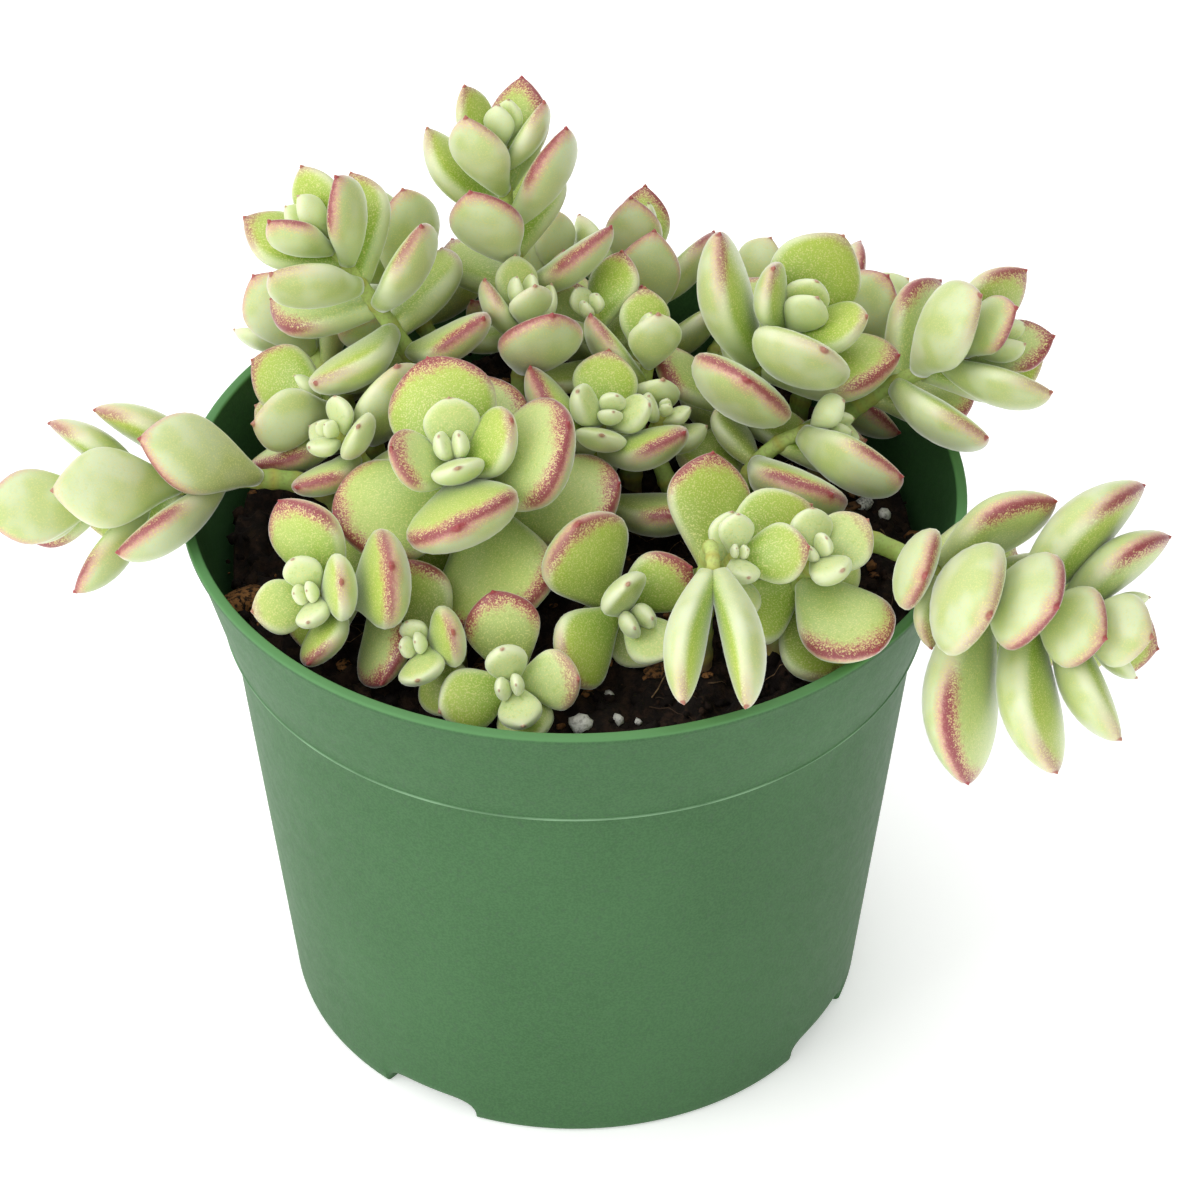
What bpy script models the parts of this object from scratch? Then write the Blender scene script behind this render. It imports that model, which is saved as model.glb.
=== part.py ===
"""Potted cotyledon: a round nursery pot filled with soil, and the leafy stems that stand in it.

Sizes are in millimetres and are turned into metres by MM where a mesh is made. Points nearer than
WELD are merged. The origin is the centre of the pot's foot, with +Z up and the front of the plant
towards -Y. Each leafy stem is a bent tube with thick obovate leaves in pairs, and each pair is
turned a right angle from the last.
"""

import math
from dataclasses import dataclass, field, replace

import bmesh
import bpy
import numpy as np

MM = 0.001
WELD = 0.02

# Pot, from the rim down
RIM_RADIUS = 82.5
POT_HEIGHT = 128.3
LIP_WIDTH = 2.3
LIP_DROP = 1.6
LIP_ROUND = 0.5
COLLAR_TOP_RADIUS = 81.6
COLLAR_FOOT_RADIUS = 74.9
COLLAR_FOOT_Z = 100.3
COLLAR_FOOT_ROUND = 0.4
BODY_TOP_RADIUS = 73.3
FOOT_RADIUS = 62.5
FOOT_ROUND = 1.5
WALL = 1.8
FLOOR_TOP_Z = 8.5
FLOOR_WALL = 2.0
FLOOR_ROUND = 2.0
INNER_STEP_DROP = 3.0
FOOT_RING_INNER = 58.5
POT_STEPS = 36
POT_SHARP_ANGLE = 30.0

# Flat-topped notches in the foot ring, and the drainage holes behind them
NOTCH_COUNT = 4
NOTCH_FIRST_ANGLE = -30.5
NOTCH_WIDTH = 22.0
NOTCH_HEIGHT = 4.6
NOTCH_MIDDLE = 60.0
NOTCH_DEPTH = 12.0
NOTCH_CORNER = 3.0
NOTCH_CORNER_STEPS = 4
DRAIN_RADIUS = 4.5
DRAIN_DISTANCE = 47.0
DRAIN_SIDES = 16
CUT_BEYOND = 3.0

# Soil, which is highest in the middle
SOIL_EDGE_Z = 111.0
SOIL_RISE = 6.0
SOIL_RIPPLE = 0.8
SOIL_SPREAD = 76.0
SOIL_RINGS = 4
SOIL_SIDES = 24
SOIL_GAP = 0.6
SOIL_SHOULDER_Z = COLLAR_FOOT_Z - 4.0
SOIL_CHAMFER = 3.0
SOIL_SHARP_ANGLE = 50.0

# Stems
STEM_DEPTH = 6.0
STEM_ROOT_RADIUS = 2.7
STEM_TIP_RADIUS = 1.2
STEM_POINTS = 6
STEM_FINE = 121
STEM_BEND = 0.45
HOLE_GAP = 0.7
HOLE_SIDES = 6

# Leaves: rows of points between root and tip, and points round each row
BIG_ROWS = (0.3, 0.62, 0.88)
SMALL_ROWS = (0.38, 0.78)
SMALL_LEAF = 25.0
LEAF_SIDES = 6
NARROW_SIDES = 4
NARROW_LEAF = 17.0
NECK = 0.22
WIDTH_LEAN = 1.42
THICK_LEAN = 1.05
THICK_FULL = 0.6
MIDRIB_POINTS = 41
INNER_SHARE = 0.75
CURL = 22.0
CURL_START = 0.25
THICK_SHARE = 0.46
BUD_THICK_SHARE = 0.6
BUD_LEAF = 12.0
LEAST_HALF_THICKNESS = 0.55

# Distance from a stem's tip to its first pair, and from pair to pair with the share of leaf length
TIP_BACK = 1.5
PAIR_STEP = 1.0
PAIR_STEP_SHARE = 0.2

# What turns a leaf a little out of its rule
SEED = 11
OPEN_SPREAD = 4.0
YAW_SPREAD = 5.0
LENGTH_SPREAD = 0.05

# How leaves are bent clear of each other
CLEAR = 0.55
TEST_ROWS = (0.16, 0.34, 0.52, 0.68, 0.82, 0.93, 1.0)
TEST_SIDES = 8
TURN_STEP = 7.0
TURN_STEPS = 4
SHRINK_STEP = 0.07
SHRINK_STEPS = 6
SHRINK_COST = 95.0
RIM_CLEAR = 2.5


@dataclass
class Shoot:
    """One leafy stem: where it roots, where its tip is and faces, and its pairs from the tip down.

    Lost lists the leaves that have dropped off, each by its pair and half.
    """

    name: str
    root: tuple
    tip: tuple
    facing: tuple
    roll: float
    lengths: tuple
    opens: tuple
    spacing: float = 0.9
    width: float = 0.68
    point: float = 0.72
    lost: tuple = ()
    leaves: list = field(default_factory=list)


SHOOTS = [
    Shoot("shoot_front_middle", (-14, -14), (-24, -24, 155), (-92, 79), 12,
          (7, 13, 18, 27, 30, 32, 29, 26), (18, 34, 46, 56, 68, 88, 98, 106), 0.8, 0.86, 0.6),
    Shoot("shoot_front_drooping", (26, -44), (28, -58.5, 150), (-88, -38), 6,
          (31,), (18,), 0.5, 0.6),
    Shoot("shoot_front_right", (22, -30), (33, -49, 149), (-70, 60), 168,
          (4, 10, 16, 18, 24, 25), (15, 40, 62, 68, 84, 98), 0.8, 0.76),
    Shoot("shoot_upper_right", (30, 20), (46, 21, 155), (-25, 62), 15,
          (13, 20, 29, 31, 33, 31, 28), (16, 32, 42, 56, 72, 88, 100), 0.8, 0.74),
    Shoot("shoot_upper_left", (-28, 18), (-53, 30, 172), (172, 58), 75,
          (11, 19, 23, 25, 27, 27, 24), (15, 30, 40, 56, 72, 88, 95), 0.95, 0.66, 0.8),
    Shoot("shoot_tall_rear", (-8, 32), (-15, 50, 181), (95, 84), 60,
          (11, 19, 24, 26, 27, 27, 25), (13, 25, 34, 42, 55, 70, 85), 1.2, 0.6, 0.8),
    Shoot("shoot_trailing_right", (48, -16), (107, -58, 137), (-6, -4), -45,
          (7, 14, 20, 28, 24, 33, 28, 38, 33, 27, 26), (14, 24, 38, 32, 38, 48, 58, 80, 46, 64, 66),
          0.64, 0.74, 0.76, ((6, 1), (7, 1))),
    Shoot("shoot_rear_right", (52, 18), (86, 18, 151), (-10, 32), 30,
          (12, 20, 26, 29, 29, 27), (14, 26, 38, 50, 64, 82), 0.9, 0.64, 0.8),
    Shoot("shoot_trailing_left", (-46, -4), (-106, -11, 131), (180, -12), 45,
          (8, 16, 27, 26, 28, 30, 29), (15, 26, 26, 50, 32, 24, 34), 1.2, 0.58, 0.85),
    Shoot("shoot_front_left", (-36, -34), (-53, -45, 135), (-112, 45), 30,
          (6, 11, 18, 23, 27, 27, 24), (15, 35, 50, 65, 82, 94, 100), 0.8, 0.78),
    Shoot("shoot_right_low", (42, -38), (49, -45, 146), (-55, 72), 0,
          (6, 11, 17, 27, 23, 23), (15, 35, 58, 92, 80, 96), 0.8, 0.86, 0.62),
    Shoot("shoot_right_inner", (34, 0), (54, 4, 141), (-8, 15), 20,
          (6, 10, 27, 30, 30), (15, 40, 30, 50, 70), 0.9, 0.74),
    Shoot("shoot_centre", (6, -6), (7, 0, 147), (-60, 60), 60,
          (7, 12, 18, 23, 28, 27), (15, 35, 50, 70, 88, 98), 0.9, 0.78),
    Shoot("shoot_left_inner", (-40, 10), (-57, 12, 141), (178, 8), 30,
          (5, 9, 22, 27, 27), (15, 45, 28, 38, 60), 0.9, 0.66),
    Shoot("shoot_centre_rear", (12, 14), (16, 24, 147), (60, 80), 45,
          (9, 17, 23, 27, 27), (12, 25, 40, 60, 82), 1.0, 0.68),
    Shoot("shoot_rear_inner", (-13, 14), (-11, 27, 156), (90, 80), 20,
          (8, 15, 22, 26), (12, 25, 35, 60), 1.0, 0.68),
    Shoot("shoot_rear_middle", (12, 42), (14, 66, 141), (80, 75), 10,
          (14, 22, 26, 27, 26), (12, 25, 42, 58, 80), 1.1, 0.56, 0.85),
    Shoot("shoot_front_low", (4, -32), (12, -46, 130), (-60, 30), 20,
          (8, 15, 22, 26), (15, 40, 65, 88), 0.8, 0.80),
    Shoot("shoot_front_small", (-11, -52), (-12, -64, 127), (-90, 45), 15,
          (6, 11, 17, 19), (15, 45, 72, 92), 0.8, 0.80),
    Shoot("shoot_centre_bud", (22, 2), (19, 8, 142), (0, 60), 0,
          (4, 8, 13, 17), (20, 40, 60, 80), 0.9, 0.74),
    Shoot("shoot_low_left", (-24, -42), (-31, -54, 129), (-110, 45), 30,
          (6, 13, 20, 23), (15, 40, 65, 85), 0.8, 0.78),
    Shoot("shoot_left_small", (-38, -10), (-50, -5, 146), (-150, 50), 20,
          (5, 10, 15, 19, 21), (18, 40, 60, 75, 88), 0.8, 0.74),
    Shoot("shoot_rear_small", (9, 30), (4, 31, 151), (-90, 75), 40,
          (6, 12, 18, 23, 25), (15, 32, 48, 66, 82), 0.8, 0.70),
    Shoot("shoot_back_left", (-26, 44), (-44, 62, 146), (125, 38), 20,
          (8, 16, 22, 26, 27), (15, 30, 45, 62, 80), 0.9, 0.70),
    Shoot("shoot_back_middle", (-6, 54), (-6, 70, 137), (95, 40), 50,
          (8, 16, 22, 25, 26), (15, 30, 42, 58, 75), 0.9, 0.70),
    Shoot("shoot_back_right", (28, 46), (39, 65, 134), (60, 36), 10,
          (8, 16, 22, 26, 27), (15, 30, 45, 62, 80), 0.9, 0.70),
    Shoot("shoot_back_far_right", (48, 38), (64, 54, 134), (40, 15), 35,
          (8, 15, 20, 24, 25), (15, 30, 45, 65, 80), 0.9, 0.70),
    Shoot("shoot_back_far_left", (-48, 32), (-62, 48, 134), (140, 20), 45,
          (8, 15, 22, 25, 25), (15, 30, 45, 65, 80), 0.9, 0.70),
]


def unit(vector):
    return vector / np.linalg.norm(vector)


def direction(azimuth, elevation):
    """Unit vector from its angles in degrees: azimuth from +X towards +Y, elevation above level."""
    a, e = math.radians(azimuth), math.radians(elevation)
    return np.array([math.cos(e) * math.cos(a), math.cos(e) * math.sin(a), math.sin(e)])


def soil_z(x, y):
    """Height of the soil: a low mound with a shallow ripple."""
    mound = SOIL_RISE * (1 - (x * x + y * y) / SOIL_SPREAD**2)
    ripple = SOIL_RIPPLE * np.sin(x / 6.1 + 1.0) * np.sin(y / 7.3)
    return SOIL_EDGE_Z + mound + ripple


def stem_path(shoot):
    """Centre line of a stem: straight up out of its hole, then one cubic that ends along its facing."""
    foot = np.array([*shoot.root, soil_z(*shoot.root)])
    tip = np.array(shoot.tip, float)
    span = np.linalg.norm(tip - foot)
    rise = foot + np.array([0, 0, STEM_BEND * span])
    lead = tip - direction(*shoot.facing) * STEM_BEND * span
    t = np.linspace(0, 1, STEM_FINE)[:, None]
    bend = (1 - t) ** 3 * foot + 3 * (1 - t) ** 2 * t * rise + 3 * (1 - t) * t**2 * lead + t**3 * tip
    return np.vstack([foot - np.array([0, 0, STEM_DEPTH]), bend])


def along(path):
    """Distance along a path at each of its points."""
    return np.concatenate([[0], np.cumsum(np.linalg.norm(np.diff(path, axis=0), axis=1))])


def stem_radius(share):
    """Radius of a stem at a share of its length, from its root (0) to its tip (1)."""
    return STEM_ROOT_RADIUS + (STEM_TIP_RADIUS - STEM_ROOT_RADIUS) * share


def half_width(u, point):
    """Share of a leaf's half width at u along it: a narrow root, widest past the middle, a point.

    The point is blunt at 0.6 and sharper as the value grows.
    """
    body = np.sin(np.pi * np.clip(u, 0, 1) ** WIDTH_LEAN) ** point
    return body + NECK * (1 - u) ** 3 * (1 - body)


def half_thickness(u):
    """Share of a leaf's half thickness at u along it."""
    body = np.sin(np.pi * np.clip(u, 0, 1) ** THICK_LEAN) ** THICK_FULL
    return body + 2 * NECK * (1 - u) ** 3 * (1 - body)


@dataclass
class Leaf:
    """A thick leaf: its root, the way it points, its cross direction and its inner side's normal."""

    root: np.ndarray
    ahead: np.ndarray
    across: np.ndarray
    inward: np.ndarray
    length: float
    width: float
    point: float

    def thickness(self):
        share = BUD_THICK_SHARE if self.length < BUD_LEAF else THICK_SHARE
        return share * self.width

    def midrib(self, u):
        """Distances ahead and inward of the curved midrib at u, and the angle it has turned."""
        fine = np.linspace(0, 1, MIDRIB_POINTS)
        angle = math.radians(CURL) * (fine - CURL_START)
        step = self.length * fine[1]
        ahead = np.concatenate([[0], np.cumsum((np.cos(angle[1:]) + np.cos(angle[:-1])) / 2) * step])
        inward = np.concatenate([[0], np.cumsum((np.sin(angle[1:]) + np.sin(angle[:-1])) / 2) * step])
        turned = math.radians(CURL) * (u - CURL_START)
        return np.interp(u, fine, ahead), np.interp(u, fine, inward), turned

    def grid(self, rows, sides):
        """Points on the surface: an ellipse round the midrib at each row, flatter on its inner side."""
        u = np.asarray(rows, float)
        x, z, angle = self.midrib(u)
        middle = self.root + x[:, None] * self.ahead + z[:, None] * self.inward
        normal = -np.sin(angle)[:, None] * self.ahead + np.cos(angle)[:, None] * self.inward
        turn = np.linspace(0, 2 * np.pi, sides, endpoint=False)
        depth = np.where(np.sin(turn) > 0, INNER_SHARE, 2 - INNER_SHARE) * np.sin(turn)
        wide = (half_width(u, self.point) * self.width / 2)[:, None] * np.cos(turn)
        deep = np.maximum(half_thickness(u) * self.thickness() / 2, LEAST_HALF_THICKNESS * (u < 1))
        deep = deep[:, None] * depth
        return middle[:, None] + wide[..., None] * self.across + deep[..., None] * normal[:, None]

    def holds(self, points, gap):
        """Which points lie inside the leaf, or nearer to it than gap."""
        local = (points - self.root) @ np.stack([self.ahead, self.across, self.inward], 1)
        u = np.clip(local[:, 0] / self.length, 0, 1)
        _, middle, _ = self.midrib(u)
        above = local[:, 2] - middle
        side = np.where(above > 0, INNER_SHARE, 2 - INNER_SHARE)
        wide = half_width(u, self.point) * self.width / 2 + gap
        deep = side * half_thickness(u) * self.thickness() / 2 + gap
        within = (local[:, 0] > -gap) & (local[:, 0] < self.length + gap)
        return within & ((local[:, 1] / wide) ** 2 + (above / deep) ** 2 < 1)

    def turned(self, open_by, yaw_by, scale):
        """The same leaf with its opening and yaw changed by angles in degrees, and scaled."""
        a, b = math.radians(open_by), math.radians(yaw_by)
        ahead = math.cos(a) * self.ahead - math.sin(a) * self.inward
        inward = math.sin(a) * self.ahead + math.cos(a) * self.inward
        aside = math.cos(b) * ahead + math.sin(b) * self.across
        across = math.cos(b) * self.across - math.sin(b) * ahead
        length, width = self.length * scale, self.width * scale
        return replace(self, ahead=aside, across=across, inward=inward, length=length, width=width)


def ruled_leaves(shoot, draw):
    """The shoot's leaves: opposite pairs down from the tip, each turned a right angle from the last."""
    path = stem_path(shoot)
    reach = along(path)
    level = unit(np.cross([0, 0, 1.0], direction(*shoot.facing)))
    back = TIP_BACK
    leaves = []
    for pair, (length, opening) in enumerate(zip(shoot.lengths, shoot.opens)):
        place = reach[-1] - back
        root = np.array([np.interp(place, reach, path[:, i]) for i in range(3)])
        below = np.array([np.interp(place - 1.0, reach, path[:, i]) for i in range(3)])
        up = unit(root - below)
        flat = unit(level - (level @ up) * up)
        for half in range(2):
            turn = math.radians(shoot.roll + 90 * pair + 180 * half)
            out = math.cos(turn) * flat + math.sin(turn) * np.cross(up, flat)
            angle = math.radians(opening)
            ahead = math.cos(angle) * up + math.sin(angle) * out
            inward = math.sin(angle) * up - math.cos(angle) * out
            width = shoot.width * length
            leaf = Leaf(root, ahead, np.cross(inward, ahead), inward, length, width, shoot.point)
            wild = draw.uniform(-1, 1, 3)
            scale = 1 + LENGTH_SPREAD * wild[2]
            if (pair, half) not in shoot.lost:
                leaves.append(leaf.turned(OPEN_SPREAD * wild[0], YAW_SPREAD * wild[1], scale))
        back += (PAIR_STEP + PAIR_STEP_SHARE * length) * shoot.spacing
    return leaves


def bends():
    """Turns and scales to try on a leaf, from the least change to the most."""
    turns = TURN_STEP * np.arange(-TURN_STEPS, TURN_STEPS + 1)
    tries = []
    for shrink in range(SHRINK_STEPS + 1):
        for open_by in turns:
            for yaw_by in turns:
                cost = abs(open_by) + abs(yaw_by) + SHRINK_COST * SHRINK_STEP * shrink
                tries.append((cost, open_by, yaw_by, 1 - SHRINK_STEP * shrink))
    tries.sort()
    return [bend[1:] for bend in tries]


def collar_inner_radius(z):
    """Inner radius of the pot's collar at height z."""
    share = (z - COLLAR_FOOT_Z) / (POT_HEIGHT - COLLAR_FOOT_Z)
    return COLLAR_FOOT_RADIUS - WALL + (COLLAR_TOP_RADIUS - COLLAR_FOOT_RADIUS) * share


def meets_pot(points):
    """Whether any point is in the pot's wall or in the soil, or too near to them."""
    radius = np.hypot(points[:, 0], points[:, 1])
    low = points[:, 2] < POT_HEIGHT + CLEAR
    inner = collar_inner_radius(points[:, 2]) - RIM_CLEAR / 2
    in_wall = low & (radius > inner) & (radius < RIM_RADIUS + RIM_CLEAR)
    top = soil_z(points[:, 0], points[:, 1]) + SOIL_RIPPLE
    in_soil = (radius < RIM_RADIUS) & (points[:, 2] < top + CLEAR)
    return bool((in_wall | in_soil).any())


class Clearance:
    """The stems and the leaves placed so far, which the next leaf has to clear."""

    def __init__(self, shoots):
        self.stems = {}
        for shoot in shoots:
            path = stem_path(shoot)[::4]
            share = along(path) / along(path)[-1]
            self.stems[shoot.name] = (path, stem_radius(share))
        self.placed = []

    def near(self, leaf, shoot):
        """Stem points and radii, and placed leaves, that any bend of the leaf could reach."""
        reach = leaf.length + STEM_ROOT_RADIUS + CLEAR
        paths, radii = [np.full((1, 3), 1e6)], [np.zeros(1)]
        for name, (path, radius) in self.stems.items():
            close = np.linalg.norm(path - leaf.root, axis=1) < reach
            if name != shoot.name:
                paths.append(path[close])
                radii.append(radius[close])
        leaves = []
        for name, other, points in self.placed:
            apart = np.linalg.norm(other.root + 0.5 * other.length * other.ahead - leaf.root)
            if apart < leaf.length + 0.6 * other.length:
                outer = slice(3 * TEST_SIDES, None) if name == shoot.name else slice(None)
                leaves.append((other, outer, points[outer]))
        return np.concatenate(paths), np.concatenate(radii), leaves

    def blocked(self, leaf, path, radius, leaves):
        points = leaf.grid(TEST_ROWS, TEST_SIDES).reshape(-1, 3)
        if meets_pot(points) or leaf.holds(path, STEM_ROOT_RADIUS + CLEAR).any():
            return True
        if (np.linalg.norm(points[:, None] - path, axis=2) - radius).min() < CLEAR:
            return True
        if leaves and leaf.holds(np.concatenate([others for _, _, others in leaves]), CLEAR).any():
            return True
        return any(other.holds(points[outer], CLEAR).any() for other, outer, _ in leaves)

    def place(self, leaf, shoot):
        """Puts the leaf in with the least bend that clears everything, or leaves it out."""
        near = self.near(leaf, shoot)
        for open_by, yaw_by, scale in BENDS:
            bent = leaf.turned(open_by, yaw_by, scale)
            if not self.blocked(bent, *near):
                points = bent.grid(TEST_ROWS, TEST_SIDES).reshape(-1, 3)
                self.placed.append((shoot.name, bent, points))
                shoot.leaves.append(bent)
                return


BENDS = bends()


def grow(shoots):
    """Fills every shoot's list of leaves, the shoots that show most first."""
    draw = np.random.default_rng(SEED)
    clearance = Clearance(shoots)
    for shoot in shoots:
        shoot.leaves.clear()
        for leaf in ruled_leaves(shoot, draw):
            clearance.place(leaf, shoot)


def clear_scene():
    for obj in list(bpy.data.objects):
        bpy.data.objects.remove(obj, do_unlink=True)
    for collection in list(bpy.data.collections):
        bpy.data.collections.remove(collection)


def new_collection(name):
    collection = bpy.data.collections.new(name)
    bpy.context.scene.collection.children.link(collection)
    return collection


def material(name, colour, roughness):
    made = bpy.data.materials.new(name)
    made.use_nodes = True
    shader = made.node_tree.nodes["Principled BSDF"]
    shader.inputs["Base Color"].default_value = (*colour, 1)
    shader.inputs["Roughness"].default_value = roughness
    shader.inputs["Metallic"].default_value = 0
    return made


def mesh_object(name, mesh, collection, look=None):
    obj = bpy.data.objects.new(name, mesh)
    collection.objects.link(obj)
    if look:
        mesh.materials.append(look)
    return obj


def leaf_mesh(leaf, name):
    """Mesh from the leaf's root point through its rows to its tip point."""
    sides = NARROW_SIDES if leaf.length < NARROW_LEAF else LEAF_SIDES
    rings = leaf.grid(SMALL_ROWS if leaf.length < SMALL_LEAF else BIG_ROWS, sides)
    mesh_maker = bmesh.new()
    rows = [[mesh_maker.verts.new(point * MM) for point in ring] for ring in rings]
    root = mesh_maker.verts.new(leaf.root * MM)
    tip = mesh_maker.verts.new(leaf.grid((1.0,), sides)[0, 0] * MM)
    for i in range(sides):
        j = (i + 1) % sides
        mesh_maker.faces.new((root, rows[0][j], rows[0][i]))
        mesh_maker.faces.new((rows[-1][i], rows[-1][j], tip))
        for low, high in zip(rows, rows[1:]):
            mesh_maker.faces.new((low[i], low[j], high[j], high[i]))
    bmesh.ops.recalc_face_normals(mesh_maker, faces=mesh_maker.faces)
    bmesh.ops.triangulate(mesh_maker, faces=mesh_maker.faces)
    mesh = bpy.data.meshes.new(name)
    mesh_maker.to_mesh(mesh)
    mesh_maker.free()
    return mesh


def stem_mesh(shoot, collection):
    """The stem as a curve with a round bevel that tapers, made a mesh and its caps welded on."""
    path = stem_path(shoot)
    reach = along(path)
    stops = np.concatenate([[0, STEM_DEPTH], np.linspace(STEM_DEPTH, reach[-1], STEM_POINTS)[1:]])
    curve = bpy.data.curves.new(shoot.name + "_line", "CURVE")
    curve.dimensions = "3D"
    curve.bevel_depth = MM
    curve.bevel_resolution = 1
    curve.use_fill_caps = True
    spline = curve.splines.new("POLY")
    spline.points.add(len(stops) - 1)
    for point, stop in zip(spline.points, stops):
        place = [np.interp(stop, reach, path[:, i]) * MM for i in range(3)]
        point.co = (*place, 1)
        point.radius = stem_radius(stop / reach[-1])
    guide = bpy.data.objects.new(shoot.name + "_line", curve)
    collection.objects.link(guide)
    graph = bpy.context.evaluated_depsgraph_get()
    mesh = bpy.data.meshes.new_from_object(guide.evaluated_get(graph))
    bpy.data.objects.remove(guide, do_unlink=True)
    mesh_maker = bmesh.new()
    mesh_maker.from_mesh(mesh)
    bmesh.ops.remove_doubles(mesh_maker, verts=mesh_maker.verts, dist=WELD * MM)
    bmesh.ops.recalc_face_normals(mesh_maker, faces=mesh_maker.faces)
    mesh_maker.to_mesh(mesh)
    mesh_maker.free()
    return mesh


def apply_boolean(obj, operation, others):
    """Joins or cuts obj by every object of a collection, applies it, and removes those objects."""
    modifier = obj.modifiers.new("Join", "BOOLEAN")
    modifier.operation = operation
    modifier.operand_type = "COLLECTION"
    modifier.collection = others
    modifier.solver = "EXACT"
    graph = bpy.context.evaluated_depsgraph_get()
    joined = bpy.data.meshes.new_from_object(obj.evaluated_get(graph))
    obj.modifiers.clear()
    obj.data = joined
    for other in list(others.objects):
        bpy.data.objects.remove(other, do_unlink=True)
    bpy.data.collections.remove(others)


def make_shoot(shoot, plant, look):
    """One node: the stem and its leaves in a single solid."""
    stem = mesh_object(shoot.name, stem_mesh(shoot, plant), plant, look)
    leaves = new_collection(shoot.name + "_leaves")
    for number, leaf in enumerate(shoot.leaves):
        name = f"{shoot.name}_leaf_{number}"
        mesh_object(name, leaf_mesh(leaf, name), leaves)
    apply_boolean(stem, "UNION", leaves)
    stem.data.name = shoot.name
    stem.data.shade_smooth()
    return stem


def pot_profile():
    """Points (radius, height) of the pot's section: down the outside, under the foot and up the inside."""
    step = FOOT_ROUND * (1 - math.sqrt(0.5))
    taper = (BODY_TOP_RADIUS - FOOT_RADIUS) / COLLAR_FOOT_Z
    foot_wall = FOOT_RADIUS + taper * FOOT_ROUND
    inner_step = COLLAR_FOOT_RADIUS - WALL
    floor_corner = FOOT_RADIUS + taper * FLOOR_TOP_Z - WALL
    return [
        (RIM_RADIUS - LIP_ROUND, POT_HEIGHT),
        (RIM_RADIUS, POT_HEIGHT - LIP_ROUND),
        (RIM_RADIUS, POT_HEIGHT - LIP_DROP),
        (COLLAR_TOP_RADIUS, POT_HEIGHT - LIP_DROP - LIP_ROUND),
        (COLLAR_FOOT_RADIUS, COLLAR_FOOT_Z + COLLAR_FOOT_ROUND),
        (COLLAR_FOOT_RADIUS - COLLAR_FOOT_ROUND, COLLAR_FOOT_Z),
        (BODY_TOP_RADIUS, COLLAR_FOOT_Z - 0.6),
        (foot_wall, FOOT_ROUND),
        (FOOT_RADIUS - step, step),
        (FOOT_RADIUS - FOOT_ROUND, 0.0),
        (FOOT_RING_INNER, 0.0),
        (FOOT_RING_INNER, FLOOR_TOP_Z - FLOOR_WALL),
        (0.0, FLOOR_TOP_Z - FLOOR_WALL),
        (0.0, FLOOR_TOP_Z),
        (floor_corner - FLOOR_ROUND, FLOOR_TOP_Z),
        (floor_corner, FLOOR_TOP_Z + FLOOR_ROUND),
        (BODY_TOP_RADIUS - WALL, COLLAR_FOOT_Z - INNER_STEP_DROP),
        (inner_step, COLLAR_FOOT_Z + 1.0),
        (collar_inner_radius(POT_HEIGHT - 1.0), POT_HEIGHT - 1.0),
        (RIM_RADIUS - LIP_WIDTH, POT_HEIGHT - 0.3),
        (RIM_RADIUS - LIP_WIDTH + 0.3, POT_HEIGHT),
    ]


def turned_object(name, profile, steps, collection, look=None, closed=True):
    """A turned shape: a profile in the XZ plane carried round Z by a Screw modifier, which is applied."""
    count = len(profile)
    edges = [(i, (i + 1) % count) for i in range(count if closed else count - 1)]
    mesh = bpy.data.meshes.new(name)
    mesh.from_pydata([(r * MM, 0, z * MM) for r, z in profile], edges, [])
    obj = mesh_object(name, mesh, collection)
    screw = obj.modifiers.new("Turn", "SCREW")
    screw.steps = steps
    screw.render_steps = steps
    screw.use_merge_vertices = True
    screw.merge_threshold = WELD * MM
    graph = bpy.context.evaluated_depsgraph_get()
    turned = bpy.data.meshes.new_from_object(obj.evaluated_get(graph))
    obj.modifiers.clear()
    obj.data = turned
    turned.name = name
    if look:
        turned.materials.append(look)
    return obj


def notch_cutter(angle, cutters):
    """A slot through the foot ring, flat on top with round corners, pointing outwards at this angle."""
    bpy.ops.mesh.primitive_cube_add(size=MM)
    cutter = bpy.context.object
    cutter.name = f"notch_cutter_{round(angle)}"
    shape = bmesh.new()
    shape.from_mesh(cutter.data)
    bmesh.ops.scale(shape, vec=(NOTCH_DEPTH, NOTCH_WIDTH, 2 * NOTCH_HEIGHT), verts=shape.verts)
    outward = [edge for edge in shape.edges if edge.verts[0].co.yz == edge.verts[1].co.yz]
    bmesh.ops.bevel(
        shape, geom=outward, offset=NOTCH_CORNER * MM, segments=NOTCH_CORNER_STEPS, profile=0.5,
        affect="EDGES"
    )
    shape.to_mesh(cutter.data)
    shape.free()
    cutter.rotation_euler = (0, 0, math.radians(angle))
    cutter.location = direction(angle, 0) * NOTCH_MIDDLE * MM
    move_to(cutter, cutters)


def round_cutter(name, x, y, low, high, radius, sides, cutters):
    bpy.ops.mesh.primitive_cylinder_add(vertices=sides, radius=radius * MM, depth=(high - low) * MM)
    cutter = bpy.context.object
    cutter.name = name
    cutter.location = (x * MM, y * MM, (low + high) / 2 * MM)
    move_to(cutter, cutters)


def move_to(obj, collection):
    for owner in list(obj.users_collection):
        owner.objects.unlink(obj)
    collection.objects.link(obj)
    obj.hide_render = True
    obj.display_type = "WIRE"


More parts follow.
